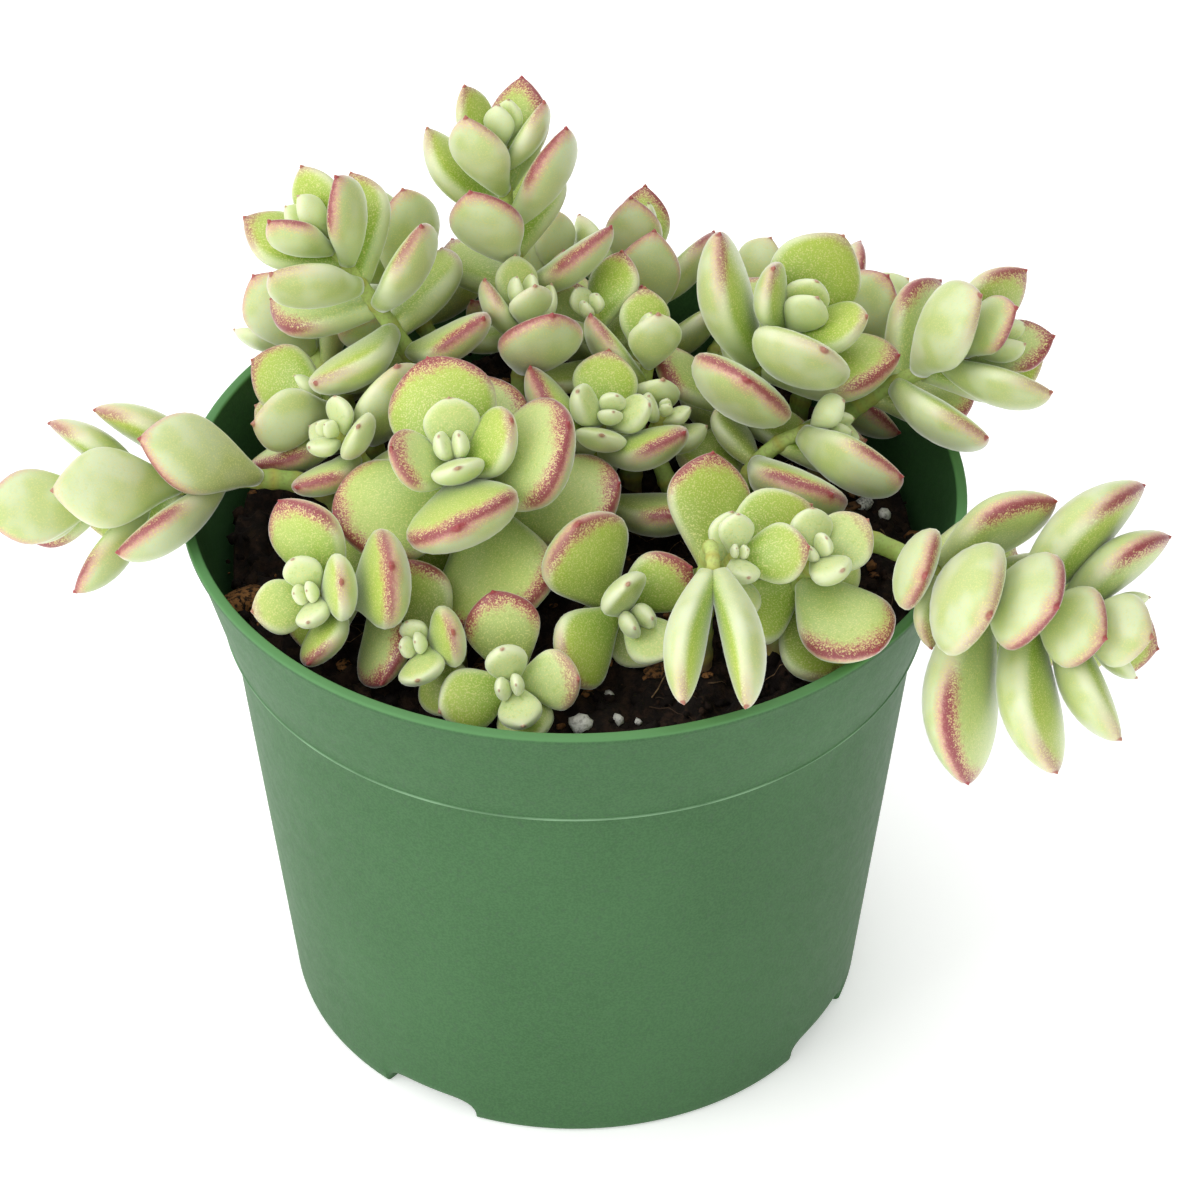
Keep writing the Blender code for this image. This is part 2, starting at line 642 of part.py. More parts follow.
def make_pot(plant, look):
    pot = turned_object("pot", pot_profile(), POT_STEPS, plant, look)
    cutters = new_collection("pot_cutters")
    for i in range(NOTCH_COUNT):
        angle = NOTCH_FIRST_ANGLE + 360 / NOTCH_COUNT * i
        notch_cutter(angle, cutters)
        x, y, _ = direction(angle, 0) * DRAIN_DISTANCE
        top = FLOOR_TOP_Z + CUT_BEYOND
        round_cutter(f"drain_cutter_{i}", x, y, CUT_BEYOND, top, DRAIN_RADIUS, DRAIN_SIDES, cutters)
    bpy.context.view_layer.update()
    apply_boolean(pot, "DIFFERENCE", cutters)
    pot.data.set_sharp_from_angle(angle=math.radians(POT_SHARP_ANGLE))
    return pot


def soil_wall_radius(z):
    """Radius of the soil's side at height z, a gap inside the pot's wall."""
    taper = (BODY_TOP_RADIUS - FOOT_RADIUS) / COLLAR_FOOT_Z
    body = FOOT_RADIUS + taper * z - WALL
    return (body if z < COLLAR_FOOT_Z - INNER_STEP_DROP else min(body, collar_inner_radius(z))) - SOIL_GAP


def make_soil(plant, look, shoots):
    """The soil: a turned block to the pot's inside, its top raised by a formula, with holes for stems."""
    low = FLOOR_TOP_Z + SOIL_GAP
    edge = soil_wall_radius(SOIL_SHOULDER_Z)
    top = [(edge * (1 - i / SOIL_RINGS), SOIL_EDGE_Z) for i in range(SOIL_RINGS + 1)]
    chamfer_top = (soil_wall_radius(low + SOIL_CHAMFER), low + SOIL_CHAMFER)
    chamfer_foot = (soil_wall_radius(low) - SOIL_CHAMFER, low)
    profile = top[::-1] + [(edge, SOIL_SHOULDER_Z), chamfer_top, chamfer_foot, (0.0, low)]
    soil = turned_object("soil", profile, SOIL_SIDES, plant, look, closed=False)
    for vertex in soil.data.vertices:
        x, y, z = vertex.co / MM
        if z > SOIL_EDGE_Z - 1:
            vertex.co.z = soil_z(x, y) * MM
    cutters = new_collection("soil_cutters")
    for shoot in shoots:
        x, y = shoot.root
        bottom = soil_z(x, y) - STEM_DEPTH - HOLE_GAP
        top = SOIL_EDGE_Z + SOIL_RISE + CUT_BEYOND
        radius = STEM_ROOT_RADIUS + HOLE_GAP
        round_cutter(shoot.name + "_hole", x, y, bottom, top, radius, HOLE_SIDES, cutters)
    bpy.context.view_layer.update()
    apply_boolean(soil, "DIFFERENCE", cutters)
    soil.data.set_sharp_from_angle(angle=math.radians(SOIL_SHARP_ANGLE))
    return soil


def main():
    clear_scene()
    plant = new_collection("potted_cotyledon")
    green_plastic = material("green_plastic", (0.075, 0.22, 0.10), 0.45)
    potting_soil = material("potting_soil", (0.025, 0.017, 0.012), 0.95)
    leaf_skin = material("leaf_skin", (0.42, 0.55, 0.20), 0.5)
    grow(SHOOTS)
    make_pot(plant, green_plastic)
    make_soil(plant, potting_soil, SHOOTS)
    for shoot in SHOOTS:
        make_shoot(shoot, plant, leaf_skin)


if __name__ == "__main__":
    main()
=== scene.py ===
"""Potted cotyledon: the looks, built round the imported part.

Run as a script in Blender. Sizes in the growth rule are millimetres, as in the part's own source, and
are turned into metres by MM where a mesh is made. +Z is up and the front of the plant is towards -Y.
"""

import math
from dataclasses import dataclass, field, replace
from types import SimpleNamespace

import bpy
import numpy as np
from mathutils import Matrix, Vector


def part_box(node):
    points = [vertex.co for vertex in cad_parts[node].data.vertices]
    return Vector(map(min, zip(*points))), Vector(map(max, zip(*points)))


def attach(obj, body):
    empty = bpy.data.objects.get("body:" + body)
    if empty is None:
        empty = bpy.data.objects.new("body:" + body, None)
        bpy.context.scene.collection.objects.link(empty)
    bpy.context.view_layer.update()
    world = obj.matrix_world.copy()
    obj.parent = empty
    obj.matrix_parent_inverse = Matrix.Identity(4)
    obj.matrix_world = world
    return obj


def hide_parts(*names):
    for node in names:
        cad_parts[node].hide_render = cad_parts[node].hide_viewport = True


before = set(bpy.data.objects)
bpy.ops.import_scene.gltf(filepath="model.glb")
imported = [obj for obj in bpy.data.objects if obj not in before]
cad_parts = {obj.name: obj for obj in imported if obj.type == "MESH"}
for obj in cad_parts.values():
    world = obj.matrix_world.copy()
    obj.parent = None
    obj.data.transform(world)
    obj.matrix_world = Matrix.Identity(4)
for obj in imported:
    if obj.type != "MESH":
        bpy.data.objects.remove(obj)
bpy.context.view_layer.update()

bl_info = {
    "name": "Potted cotyledon",
    "version": (1, 0, 0),
    "blender": (4, 5, 0),
    "location": "View3D > Sidebar > Cotyledon",
    "description": "Pot, soil, leafy stems and stage of a potted cotyledon",
    "category": "Object",
}

MM = 0.001
POT_LOW, POT_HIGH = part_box("pot")

# Pot, from the rim down
RIM_RADIUS = (POT_HIGH.x - POT_LOW.x) / 2 / MM
POT_HEIGHT = POT_HIGH.z / MM
LIP_WIDTH = 2.3
LIP_DROP = 1.6
LIP_ROUND = 0.5
LIP_FOOT_ROUND = 0.3
LIP_CORNER = 0.35
LIP_STEP_DRAFT = 0.5
LIP_INNER_DRAFT = 0.05
LIP_INNER_DROP = 1.0
COLLAR_TOP_RADIUS = 81.6
COLLAR_FOOT_RADIUS = 74.9
COLLAR_FOOT_Z = 100.3
COLLAR_FOOT_ROUND = 0.3
COLLAR_FOOT_INSET = 0.1
COLLAR_EDGE_RADIUS = COLLAR_FOOT_RADIUS + 0.02
COLLAR_EDGE_Z = COLLAR_FOOT_Z + 0.8
LEDGE_ROUND = 0.7
LEDGE_FOOT_Z = COLLAR_FOOT_Z - 0.8
INNER_STEP_TOP_Z = COLLAR_FOOT_Z + 1.0
INNER_STEP_FOOT_Z = COLLAR_FOOT_Z - 3.0
BODY_TOP_RADIUS = 73.3
FOOT_RADIUS = 62.5
FOOT_ROUND = 1.5
FOOT_WALL_Z = 2.2
NOTCH_CLEAR_Z = 8.0
FOOT_RING_INNER = 58.5
WALL = 1.8
FLOOR_TOP_Z = 8.5
FLOOR_UNDER_Z = FLOOR_TOP_Z - 2.0
FLOOR_ROUND = 2.0
FLOOR_BEND_Z = FLOOR_TOP_Z + FLOOR_ROUND
FLOOR_FLAT = 52.0
FLOOR_MIDDLE = 8.0
POT_SHARP_ANGLE = math.radians(40)
# Heights where the painted highlight on the lip's flat top fades in and is full
LIP_FADE_Z, LIP_BRIGHT_Z = POT_HEIGHT - 0.9, POT_HEIGHT - 0.3
# Heights of the painted highlight along the foot of the collar: where it starts, is full, fades and ends
COLLAR_HIGHLIGHT_Z = [COLLAR_FOOT_Z + rise for rise in (-0.1, 0.05, 0.4, 0.75)]
NOTCH_COUNT = 4
NOTCH_PITCH = 2 * math.pi / NOTCH_COUNT
NOTCH_FIRST_ANGLE = math.radians(-30.5)
NOTCH_WIDTH = 22.0
NOTCH_MIDDLE = 60.0
NOTCH_HALF_ANGLE = math.asin(NOTCH_WIDTH / 2 / NOTCH_MIDDLE)
NOTCH_SQUARENESS = 5
NOTCH_END_STEPS = np.array([0, 0.004, 0.02, 0.05, 0.1, 0.17, 0.27])
LEAST_COLUMN_ANGLE = 0.006
DRAIN_RADIUS = 4.5
DRAIN_DISTANCE = 47.0
DRAIN_SIDES = 32
DRAIN_CUT_FOOT_Z, DRAIN_CUT_TOP_Z = FLOOR_TOP_Z - 5, FLOOR_TOP_Z + 3

# Soil
SOIL_EDGE_Z = 111.0
SOIL_RISE = 6.0
SOIL_RIPPLE = 0.8
SOIL_SPREAD = 76.0
SOIL_GAP = 0.4
SOIL_FOOT_CHAMFER = 3.0
RELIEF_SEED = 5
RELIEF_WAVES = 90
RELIEF_LENGTHS = (2.4, 15)
RELIEF_HEIGHT = 0.045
RELIEF_LOWEST = -1.6
RELIEF_HIGHEST = 1.9

# Stems and leaves, by the same rule and the same seeded draw as the part's own source
STEM_DEPTH = 6.0
STEM_ROOT_RADIUS = 2.7
STEM_TIP_RADIUS = 1.2
STEM_FINE = 121
STEM_BEND = 0.45
NECK = 0.22
INNER_SHARE = 0.75
CURL = 22.0
CURL_START = 0.25
WIDTH_LEAN = 1.42
THICK_LEAN = 1.05
THICK_FULL = 0.6
MIDRIB_POINTS = 41
THICK_SHARE = 0.46
BUD_THICK_SHARE = 0.6
BUD_LEAF = 12.0
LEAST_HALF_THICKNESS = 0.55
TIP_BACK = 1.5
PAIR_STEP = 1.0
PAIR_STEP_SHARE = 0.2
SEED = 11
OPEN_SPREAD = 4.0
YAW_SPREAD = 5.0
LENGTH_SPREAD = 0.05
CLEAR = 0.55
TEST_ROWS = (0.16, 0.34, 0.52, 0.68, 0.82, 0.93, 1.0)
TEST_SIDES = 8
TURN_STEP = 7.0
TURN_STEPS = 4
SHRINK_STEP = 0.07
SHRINK_STEPS = 6
SHRINK_COST = 95.0
RIM_CLEAR = 2.5

# Loose grains on the soil: their seeds, how far from its middle they lie, and those with a place of their own
CRUMB_SEED, CRUMB_REACH = 21, 73.5
CHIP_SEED, CHIP_REACH = 8, 71
LARGE_CHIP_PLACE, LARGE_CHIP_SIZE, LARGE_CHIP_RISE = (-69.0, -20.5), (5.2, 3.6, 2.4), 2.0
FLAT_CHIP_PLACE, FLAT_CHIP_SIZE, FLAT_CHIP_RISE = (61.0, 19.0), (2.6, 3.4, 1.0), 1.2
FIBRE_SEED, FIBRE_REACH, FIBRE_LIMIT = 17, 70, 74
PERLITE_SEED, PERLITE_REACH, PERLITE_MORE = 3, 70, 16
PERLITE_PLACES = ((1.6, -61.5), (9.0, -58.6), (13.2, -58.0), (30.0, -59.0), (-58.0, -38.0), (66.0, 8.0))
PERLITE_CHUNK = (2.3, 1.9, 2.2)
PEBBLE_SEED, PEBBLE_PLACE, PEBBLE_SIZE, PEBBLE_RISE = 2, (61.5, 12.0), (2.6, 2.0, 1.6), 1.6

# Finer form of the leaves, each by its own draw, and of the stems
SKIN_SEED = 29
LEAF_START, LEAF_REACH = 0.03, 0.958
ROW_CROWDING = 1.4
LEAF_BEND = 0.03
LEAF_TWIST = math.radians(9.0)
LEAF_LEAN = 0.06
KEEL = -0.1
MUCRO = 0.8
MUCRO_HEIGHTS = np.array([0.2, 0.45, 0.75])
MUCRO_RADII = np.array([0.7, 0.42, 0.18])
FULL_POINT_LENGTH = 18
POINT_COLOUR_REACH = 1.1
YOUNG_LENGTH, GROWN_LENGTH = 5, 24
RING_REACH, RING_SWELL = 0.8, 0.2
SCAR_PITCH, SCAR_REACH, SCAR_SWELL = 5.5, 0.7, 0.16

# Fineness of the pieces
POT_COLUMNS = 180
SOIL_COLUMNS = 240
SOIL_ROWS = 66
LEAF_ROWS = 20
LEAF_SIDES = 24
STEM_ROWS = 46
STEM_SIDES = 12

# Stage: places and sizes in metres, the camera's sensor in millimetres, and a direction's X where it dims
CAMERA_AIM = (0.00546, 0.0, 0.09732)
CAMERA_SENSOR = 36
CAMERA_CLIP = (0.05, 20)
FLOOR_CLOUD = (0.97, 0.97, 0.97)
FLOOR_DROP = 0.05 * MM
DIM_FROM_X = -0.2
LIGHT_AIM = (0, 0, 0.12)
LIGHT_SIZE = 0.9
LIGHT_PLACES = {"key": (-1.0, -0.6, 1.0), "top": (0.15, 0.35, 1.3), "front": (0.2, -1.3, 0.7)}


@dataclass
class Shoot:
    """One leafy stem: where it roots, where its tip is and faces, and its pairs from the tip down.

    Lost lists the leaves that have dropped off, each by its pair and half.
    """

    name: str
    root: tuple
    tip: tuple
    facing: tuple
    roll: float
    lengths: tuple
    opens: tuple
    spacing: float = 0.9
    width: float = 0.68
    point: float = 0.72
    lost: tuple = ()
    leaves: list = field(default_factory=list)


SHOOTS = [
    Shoot("shoot_front_middle", (-14, -14), (-24, -24, 155), (-92, 79), 12,
          (7, 13, 18, 27, 30, 32, 29, 26), (18, 34, 46, 56, 68, 88, 98, 106), 0.8, 0.86, 0.6),
    Shoot("shoot_front_drooping", (26, -44), (28, -58.5, 150), (-88, -38), 6,
          (31,), (18,), 0.5, 0.6),
    Shoot("shoot_front_right", (22, -30), (33, -49, 149), (-70, 60), 168,
          (4, 10, 16, 18, 24, 25), (15, 40, 62, 68, 84, 98), 0.8, 0.76),
    Shoot("shoot_upper_right", (30, 20), (46, 21, 155), (-25, 62), 15,
          (13, 20, 29, 31, 33, 31, 28), (16, 32, 42, 56, 72, 88, 100), 0.8, 0.74),
    Shoot("shoot_upper_left", (-28, 18), (-53, 30, 172), (172, 58), 75,
          (11, 19, 23, 25, 27, 27, 24), (15, 30, 40, 56, 72, 88, 95), 0.95, 0.66, 0.8),
    Shoot("shoot_tall_rear", (-8, 32), (-15, 50, 181), (95, 84), 60,
          (11, 19, 24, 26, 27, 27, 25), (13, 25, 34, 42, 55, 70, 85), 1.2, 0.6, 0.8),
    Shoot("shoot_trailing_right", (48, -16), (107, -58, 137), (-6, -4), -45,
          (7, 14, 20, 28, 24, 33, 28, 38, 33, 27, 26), (14, 24, 38, 32, 38, 48, 58, 80, 46, 64, 66),
          0.64, 0.74, 0.76, ((6, 1), (7, 1))),
    Shoot("shoot_rear_right", (52, 18), (86, 18, 151), (-10, 32), 30,
          (12, 20, 26, 29, 29, 27), (14, 26, 38, 50, 64, 82), 0.9, 0.64, 0.8),
    Shoot("shoot_trailing_left", (-46, -4), (-106, -11, 131), (180, -12), 45,
          (8, 16, 27, 26, 28, 30, 29), (15, 26, 26, 50, 32, 24, 34), 1.2, 0.58, 0.85),
    Shoot("shoot_front_left", (-36, -34), (-53, -45, 135), (-112, 45), 30,
          (6, 11, 18, 23, 27, 27, 24), (15, 35, 50, 65, 82, 94, 100), 0.8, 0.78),
    Shoot("shoot_right_low", (42, -38), (49, -45, 146), (-55, 72), 0,
          (6, 11, 17, 27, 23, 23), (15, 35, 58, 92, 80, 96), 0.8, 0.86, 0.62),
    Shoot("shoot_right_inner", (34, 0), (54, 4, 141), (-8, 15), 20,
          (6, 10, 27, 30, 30), (15, 40, 30, 50, 70), 0.9, 0.74),
    Shoot("shoot_centre", (6, -6), (7, 0, 147), (-60, 60), 60,
          (7, 12, 18, 23, 28, 27), (15, 35, 50, 70, 88, 98), 0.9, 0.78),
    Shoot("shoot_left_inner", (-40, 10), (-57, 12, 141), (178, 8), 30,
          (5, 9, 22, 27, 27), (15, 45, 28, 38, 60), 0.9, 0.66),
    Shoot("shoot_centre_rear", (12, 14), (16, 24, 147), (60, 80), 45,
          (9, 17, 23, 27, 27), (12, 25, 40, 60, 82), 1.0, 0.68),
    Shoot("shoot_rear_inner", (-13, 14), (-11, 27, 156), (90, 80), 20,
          (8, 15, 22, 26), (12, 25, 35, 60), 1.0, 0.68),
    Shoot("shoot_rear_middle", (12, 42), (14, 66, 141), (80, 75), 10,
          (14, 22, 26, 27, 26), (12, 25, 42, 58, 80), 1.1, 0.56, 0.85),
    Shoot("shoot_front_low", (4, -32), (12, -46, 130), (-60, 30), 20,
          (8, 15, 22, 26), (15, 40, 65, 88), 0.8, 0.80),
    Shoot("shoot_front_small", (-11, -52), (-12, -64, 127), (-90, 45), 15,
          (6, 11, 17, 19), (15, 45, 72, 92), 0.8, 0.80),
    Shoot("shoot_centre_bud", (22, 2), (19, 8, 142), (0, 60), 0,
          (4, 8, 13, 17), (20, 40, 60, 80), 0.9, 0.74),
    Shoot("shoot_low_left", (-24, -42), (-31, -54, 129), (-110, 45), 30,
          (6, 13, 20, 23), (15, 40, 65, 85), 0.8, 0.78),
    Shoot("shoot_left_small", (-38, -10), (-50, -5, 146), (-150, 50), 20,
          (5, 10, 15, 19, 21), (18, 40, 60, 75, 88), 0.8, 0.74),
    Shoot("shoot_rear_small", (9, 30), (4, 31, 151), (-90, 75), 40,
          (6, 12, 18, 23, 25), (15, 32, 48, 66, 82), 0.8, 0.70),
    Shoot("shoot_back_left", (-26, 44), (-44, 62, 146), (125, 38), 20,
          (8, 16, 22, 26, 27), (15, 30, 45, 62, 80), 0.9, 0.70),
    Shoot("shoot_back_middle", (-6, 54), (-6, 70, 137), (95, 40), 50,
          (8, 16, 22, 25, 26), (15, 30, 42, 58, 75), 0.9, 0.70),
    Shoot("shoot_back_right", (28, 46), (39, 65, 134), (60, 36), 10,
          (8, 16, 22, 26, 27), (15, 30, 45, 62, 80), 0.9, 0.70),
    Shoot("shoot_back_far_right", (48, 38), (64, 54, 134), (40, 15), 35,
          (8, 15, 20, 24, 25), (15, 30, 45, 65, 80), 0.9, 0.70),
    Shoot("shoot_back_far_left", (-48, 32), (-62, 48, 134), (140, 20), 45,
          (8, 15, 22, 25, 25), (15, 30, 45, 65, 80), 0.9, 0.70),
]


def unit(vector):
    """The vector scaled to a length of one."""
    return vector / np.linalg.norm(vector)


def direction(azimuth, elevation):
    """Unit vector from its angles in degrees: azimuth from +X towards +Y, elevation above level."""
    a, e = math.radians(azimuth), math.radians(elevation)
    return np.array([math.cos(e) * math.cos(a), math.cos(e) * math.sin(a), math.sin(e)])


def soil_z(x, y):
    """Height of the soil: a low mound with a shallow ripple."""
    mound = SOIL_RISE * (1 - (x * x + y * y) / SOIL_SPREAD**2)
    ripple = SOIL_RIPPLE * np.sin(x / 6.1 + 1.0) * np.sin(y / 7.3)
    return SOIL_EDGE_Z + mound + ripple


def stem_path(shoot):
    """Centre line of a stem: straight up out of its hole, then one cubic that ends along its facing."""
    foot = np.array([*shoot.root, soil_z(*shoot.root)])
    tip = np.array(shoot.tip, float)
    span = np.linalg.norm(tip - foot)
    rise = foot + np.array([0, 0, STEM_BEND * span])
    lead = tip - direction(*shoot.facing) * STEM_BEND * span
    t = np.linspace(0, 1, STEM_FINE)[:, None]
    bend = (1 - t) ** 3 * foot + 3 * (1 - t) ** 2 * t * rise + 3 * (1 - t) * t**2 * lead + t**3 * tip
    return np.vstack([foot - np.array([0, 0, STEM_DEPTH]), bend])


def along(path):
    """Distance along a path at each of its points."""
    return np.concatenate([[0], np.cumsum(np.linalg.norm(np.diff(path, axis=0), axis=1))])


def stem_radius(share):
    """Radius of a stem at a share of its length, from its root (0) to its tip (1)."""
    return STEM_ROOT_RADIUS + (STEM_TIP_RADIUS - STEM_ROOT_RADIUS) * share


def half_width(u, point):
    """Share of a leaf's half width at u along it: a narrow root, widest past the middle, a point.

    The point is blunt at 0.6 and sharper as the value grows.
    """
    body = np.sin(np.pi * np.clip(u, 0, 1) ** WIDTH_LEAN) ** point
    return body + NECK * (1 - u) ** 3 * (1 - body)


def half_thickness(u):
    """Share of a leaf's half thickness at u along it."""
    body = np.sin(np.pi * np.clip(u, 0, 1) ** THICK_LEAN) ** THICK_FULL
    return body + 2 * NECK * (1 - u) ** 3 * (1 - body)


@dataclass
class Leaf:
    """A thick leaf: its root, the way it points, its cross direction and its inner side's normal."""

    root: np.ndarray
    ahead: np.ndarray
    across: np.ndarray
    inward: np.ndarray
    length: float
    width: float
    point: float
    pair: int

    def thickness(self):
        """Full thickness, which is a larger share of the width on a bud's small leaf."""
        share = BUD_THICK_SHARE if self.length < BUD_LEAF else THICK_SHARE
        return share * self.width

    def midrib(self, u):
        """Distances ahead and inward of the curved midrib at u, and the angle it has turned."""
        fine = np.linspace(0, 1, MIDRIB_POINTS)
        angle = math.radians(CURL) * (fine - CURL_START)
        step = self.length * fine[1]
        ahead = np.concatenate([[0], np.cumsum((np.cos(angle[1:]) + np.cos(angle[:-1])) / 2) * step])
        inward = np.concatenate([[0], np.cumsum((np.sin(angle[1:]) + np.sin(angle[:-1])) / 2) * step])
        turned = math.radians(CURL) * (u - CURL_START)
        return np.interp(u, fine, ahead), np.interp(u, fine, inward), turned

    def grid(self, rows, sides):
        """Points on the surface: an ellipse round the midrib at each row, flatter on its inner side."""
        u = np.asarray(rows, float)
        x, z, angle = self.midrib(u)
        middle = self.root + x[:, None] * self.ahead + z[:, None] * self.inward
        normal = -np.sin(angle)[:, None] * self.ahead + np.cos(angle)[:, None] * self.inward
        turn = np.linspace(0, 2 * np.pi, sides, endpoint=False)
        depth = np.where(np.sin(turn) > 0, INNER_SHARE, 2 - INNER_SHARE) * np.sin(turn)
        wide = (half_width(u, self.point) * self.width / 2)[:, None] * np.cos(turn)
        deep = np.maximum(half_thickness(u) * self.thickness() / 2, LEAST_HALF_THICKNESS * (u < 1))
        deep = deep[:, None] * depth
        return middle[:, None] + wide[..., None] * self.across + deep[..., None] * normal[:, None]

    def holds(self, points, gap):
        """Which points lie inside the leaf, or nearer to it than gap."""
        local = (points - self.root) @ np.stack([self.ahead, self.across, self.inward], 1)
        u = np.clip(local[:, 0] / self.length, 0, 1)
        _, middle, _ = self.midrib(u)
        above = local[:, 2] - middle
        side = np.where(above > 0, INNER_SHARE, 2 - INNER_SHARE)
        wide = half_width(u, self.point) * self.width / 2 + gap
        deep = side * half_thickness(u) * self.thickness() / 2 + gap
        within = (local[:, 0] > -gap) & (local[:, 0] < self.length + gap)
        return within & ((local[:, 1] / wide) ** 2 + (above / deep) ** 2 < 1)

    def turned(self, open_by, yaw_by, scale):
        """The same leaf with its opening and yaw changed by angles in degrees, and scaled."""
        a, b = math.radians(open_by), math.radians(yaw_by)
        ahead = math.cos(a) * self.ahead - math.sin(a) * self.inward
        inward = math.sin(a) * self.ahead + math.cos(a) * self.inward
        aside = math.cos(b) * ahead + math.sin(b) * self.across
        across = math.cos(b) * self.across - math.sin(b) * ahead
        length, width = self.length * scale, self.width * scale
        return replace(self, ahead=aside, across=across, inward=inward, length=length, width=width)


def ruled_leaves(shoot, draw):
    """The shoot's leaves: opposite pairs down from the tip, each turned a right angle from the last."""
    path = stem_path(shoot)
    reach = along(path)
    level = unit(np.cross([0, 0, 1.0], direction(*shoot.facing)))
    back = TIP_BACK
    leaves = []
    for pair, (length, opening) in enumerate(zip(shoot.lengths, shoot.opens)):
        place = reach[-1] - back
        root = np.array([np.interp(place, reach, path[:, i]) for i in range(3)])
        below = np.array([np.interp(place - 1.0, reach, path[:, i]) for i in range(3)])
        up = unit(root - below)
        flat = unit(level - (level @ up) * up)
        for half in range(2):
            turn = math.radians(shoot.roll + 90 * pair + 180 * half)
            out = math.cos(turn) * flat + math.sin(turn) * np.cross(up, flat)
            angle = math.radians(opening)
            ahead = math.cos(angle) * up + math.sin(angle) * out
            inward = math.sin(angle) * up - math.cos(angle) * out
            width = shoot.width * length
            leaf = Leaf(root, ahead, np.cross(inward, ahead), inward, length, width, shoot.point, pair)
            wild = draw.uniform(-1, 1, 3)
            scale = 1 + LENGTH_SPREAD * wild[2]
            if (pair, half) not in shoot.lost:
                leaves.append(leaf.turned(OPEN_SPREAD * wild[0], YAW_SPREAD * wild[1], scale))
        back += (PAIR_STEP + PAIR_STEP_SHARE * length) * shoot.spacing
    return leaves


def bends():
    """Turns and scales to try on a leaf, from the least change to the most."""
    turns = TURN_STEP * np.arange(-TURN_STEPS, TURN_STEPS + 1)
    tries = []
    for shrink in range(SHRINK_STEPS + 1):
        for open_by in turns:
            for yaw_by in turns:
                cost = abs(open_by) + abs(yaw_by) + SHRINK_COST * SHRINK_STEP * shrink
                tries.append((cost, open_by, yaw_by, 1 - SHRINK_STEP * shrink))
    tries.sort()
    return [bend[1:] for bend in tries]


def collar_inner_radius(z):
    """Inner radius of the pot's collar at height z."""
    share = (z - COLLAR_FOOT_Z) / (POT_HEIGHT - COLLAR_FOOT_Z)
    return COLLAR_FOOT_RADIUS - WALL + (COLLAR_TOP_RADIUS - COLLAR_FOOT_RADIUS) * share


def meets_pot(points):
    """Whether any point is in the pot's wall or in the soil, or too near to them."""
    radius = np.hypot(points[:, 0], points[:, 1])
    low = points[:, 2] < POT_HEIGHT + CLEAR
    inner = collar_inner_radius(points[:, 2]) - RIM_CLEAR / 2
    in_wall = low & (radius > inner) & (radius < RIM_RADIUS + RIM_CLEAR)
    top = soil_z(points[:, 0], points[:, 1]) + SOIL_RIPPLE
    in_soil = (radius < RIM_RADIUS) & (points[:, 2] < top + CLEAR)
    return bool((in_wall | in_soil).any())


class Clearance:
    """The stems and the leaves placed so far, which the next leaf has to clear."""

    def __init__(self, shoots):
        self.stems = {}
        for shoot in shoots:
            path = stem_path(shoot)[::4]
            share = along(path) / along(path)[-1]
            self.stems[shoot.name] = (path, stem_radius(share))
        self.placed = []

    def near(self, leaf, shoot):
        """Stem points and radii, and placed leaves, that any bend of the leaf could reach.

        Of a leaf on the same stem only the part beyond its root counts, because the roots meet in the stem.
        """
        reach = leaf.length + STEM_ROOT_RADIUS + CLEAR
        paths, radii = [np.full((1, 3), 1e6)], [np.zeros(1)]
        for name, (path, radius) in self.stems.items():
            close = np.linalg.norm(path - leaf.root, axis=1) < reach
            if name != shoot.name:
                paths.append(path[close])
                radii.append(radius[close])
        leaves = []
        for name, other, points in self.placed:
            apart = np.linalg.norm(other.root + 0.5 * other.length * other.ahead - leaf.root)
            if apart < leaf.length + 0.6 * other.length:
                outer = slice(3 * TEST_SIDES, None) if name == shoot.name else slice(None)
                leaves.append((other, outer, points[outer]))
        return np.concatenate(paths), np.concatenate(radii), leaves

    def blocked(self, leaf, path, radius, leaves):
        """Whether the leaf meets the pot, the soil, a stem or a placed leaf, or is too near to one."""
        points = leaf.grid(TEST_ROWS, TEST_SIDES).reshape(-1, 3)
        if meets_pot(points) or leaf.holds(path, STEM_ROOT_RADIUS + CLEAR).any():
            return True
        if (np.linalg.norm(points[:, None] - path, axis=2) - radius).min() < CLEAR:
            return True
        if leaves and leaf.holds(np.concatenate([others for _, _, others in leaves]), CLEAR).any():
            return True
        return any(other.holds(points[outer], CLEAR).any() for other, outer, _ in leaves)

    def place(self, leaf, shoot):
        """Puts the leaf in with the least bend that clears everything, or leaves it out."""
        near = self.near(leaf, shoot)
        for open_by, yaw_by, scale in BENDS:
            bent = leaf.turned(open_by, yaw_by, scale)
            if not self.blocked(bent, *near):
                points = bent.grid(TEST_ROWS, TEST_SIDES).reshape(-1, 3)
                self.placed.append((shoot.name, bent, points))
                shoot.leaves.append(bent)
                return


BENDS = bends()


def grow(shoots):
    """Fills every shoot's list of leaves, the shoots that show most first."""
    draw = np.random.default_rng(SEED)
    clearance = Clearance(shoots)
    for shoot in shoots:
        shoot.leaves.clear()
        for leaf in ruled_leaves(shoot, draw):
            clearance.place(leaf, shoot)


def shade(red, green, blue):
    """A colour as light values, from its display values out of 255."""
    value = np.array([red, green, blue]) / 255
    return tuple(np.where(value < 0.04045, value / 12.92, ((value + 0.055) / 1.055) ** 2.4))


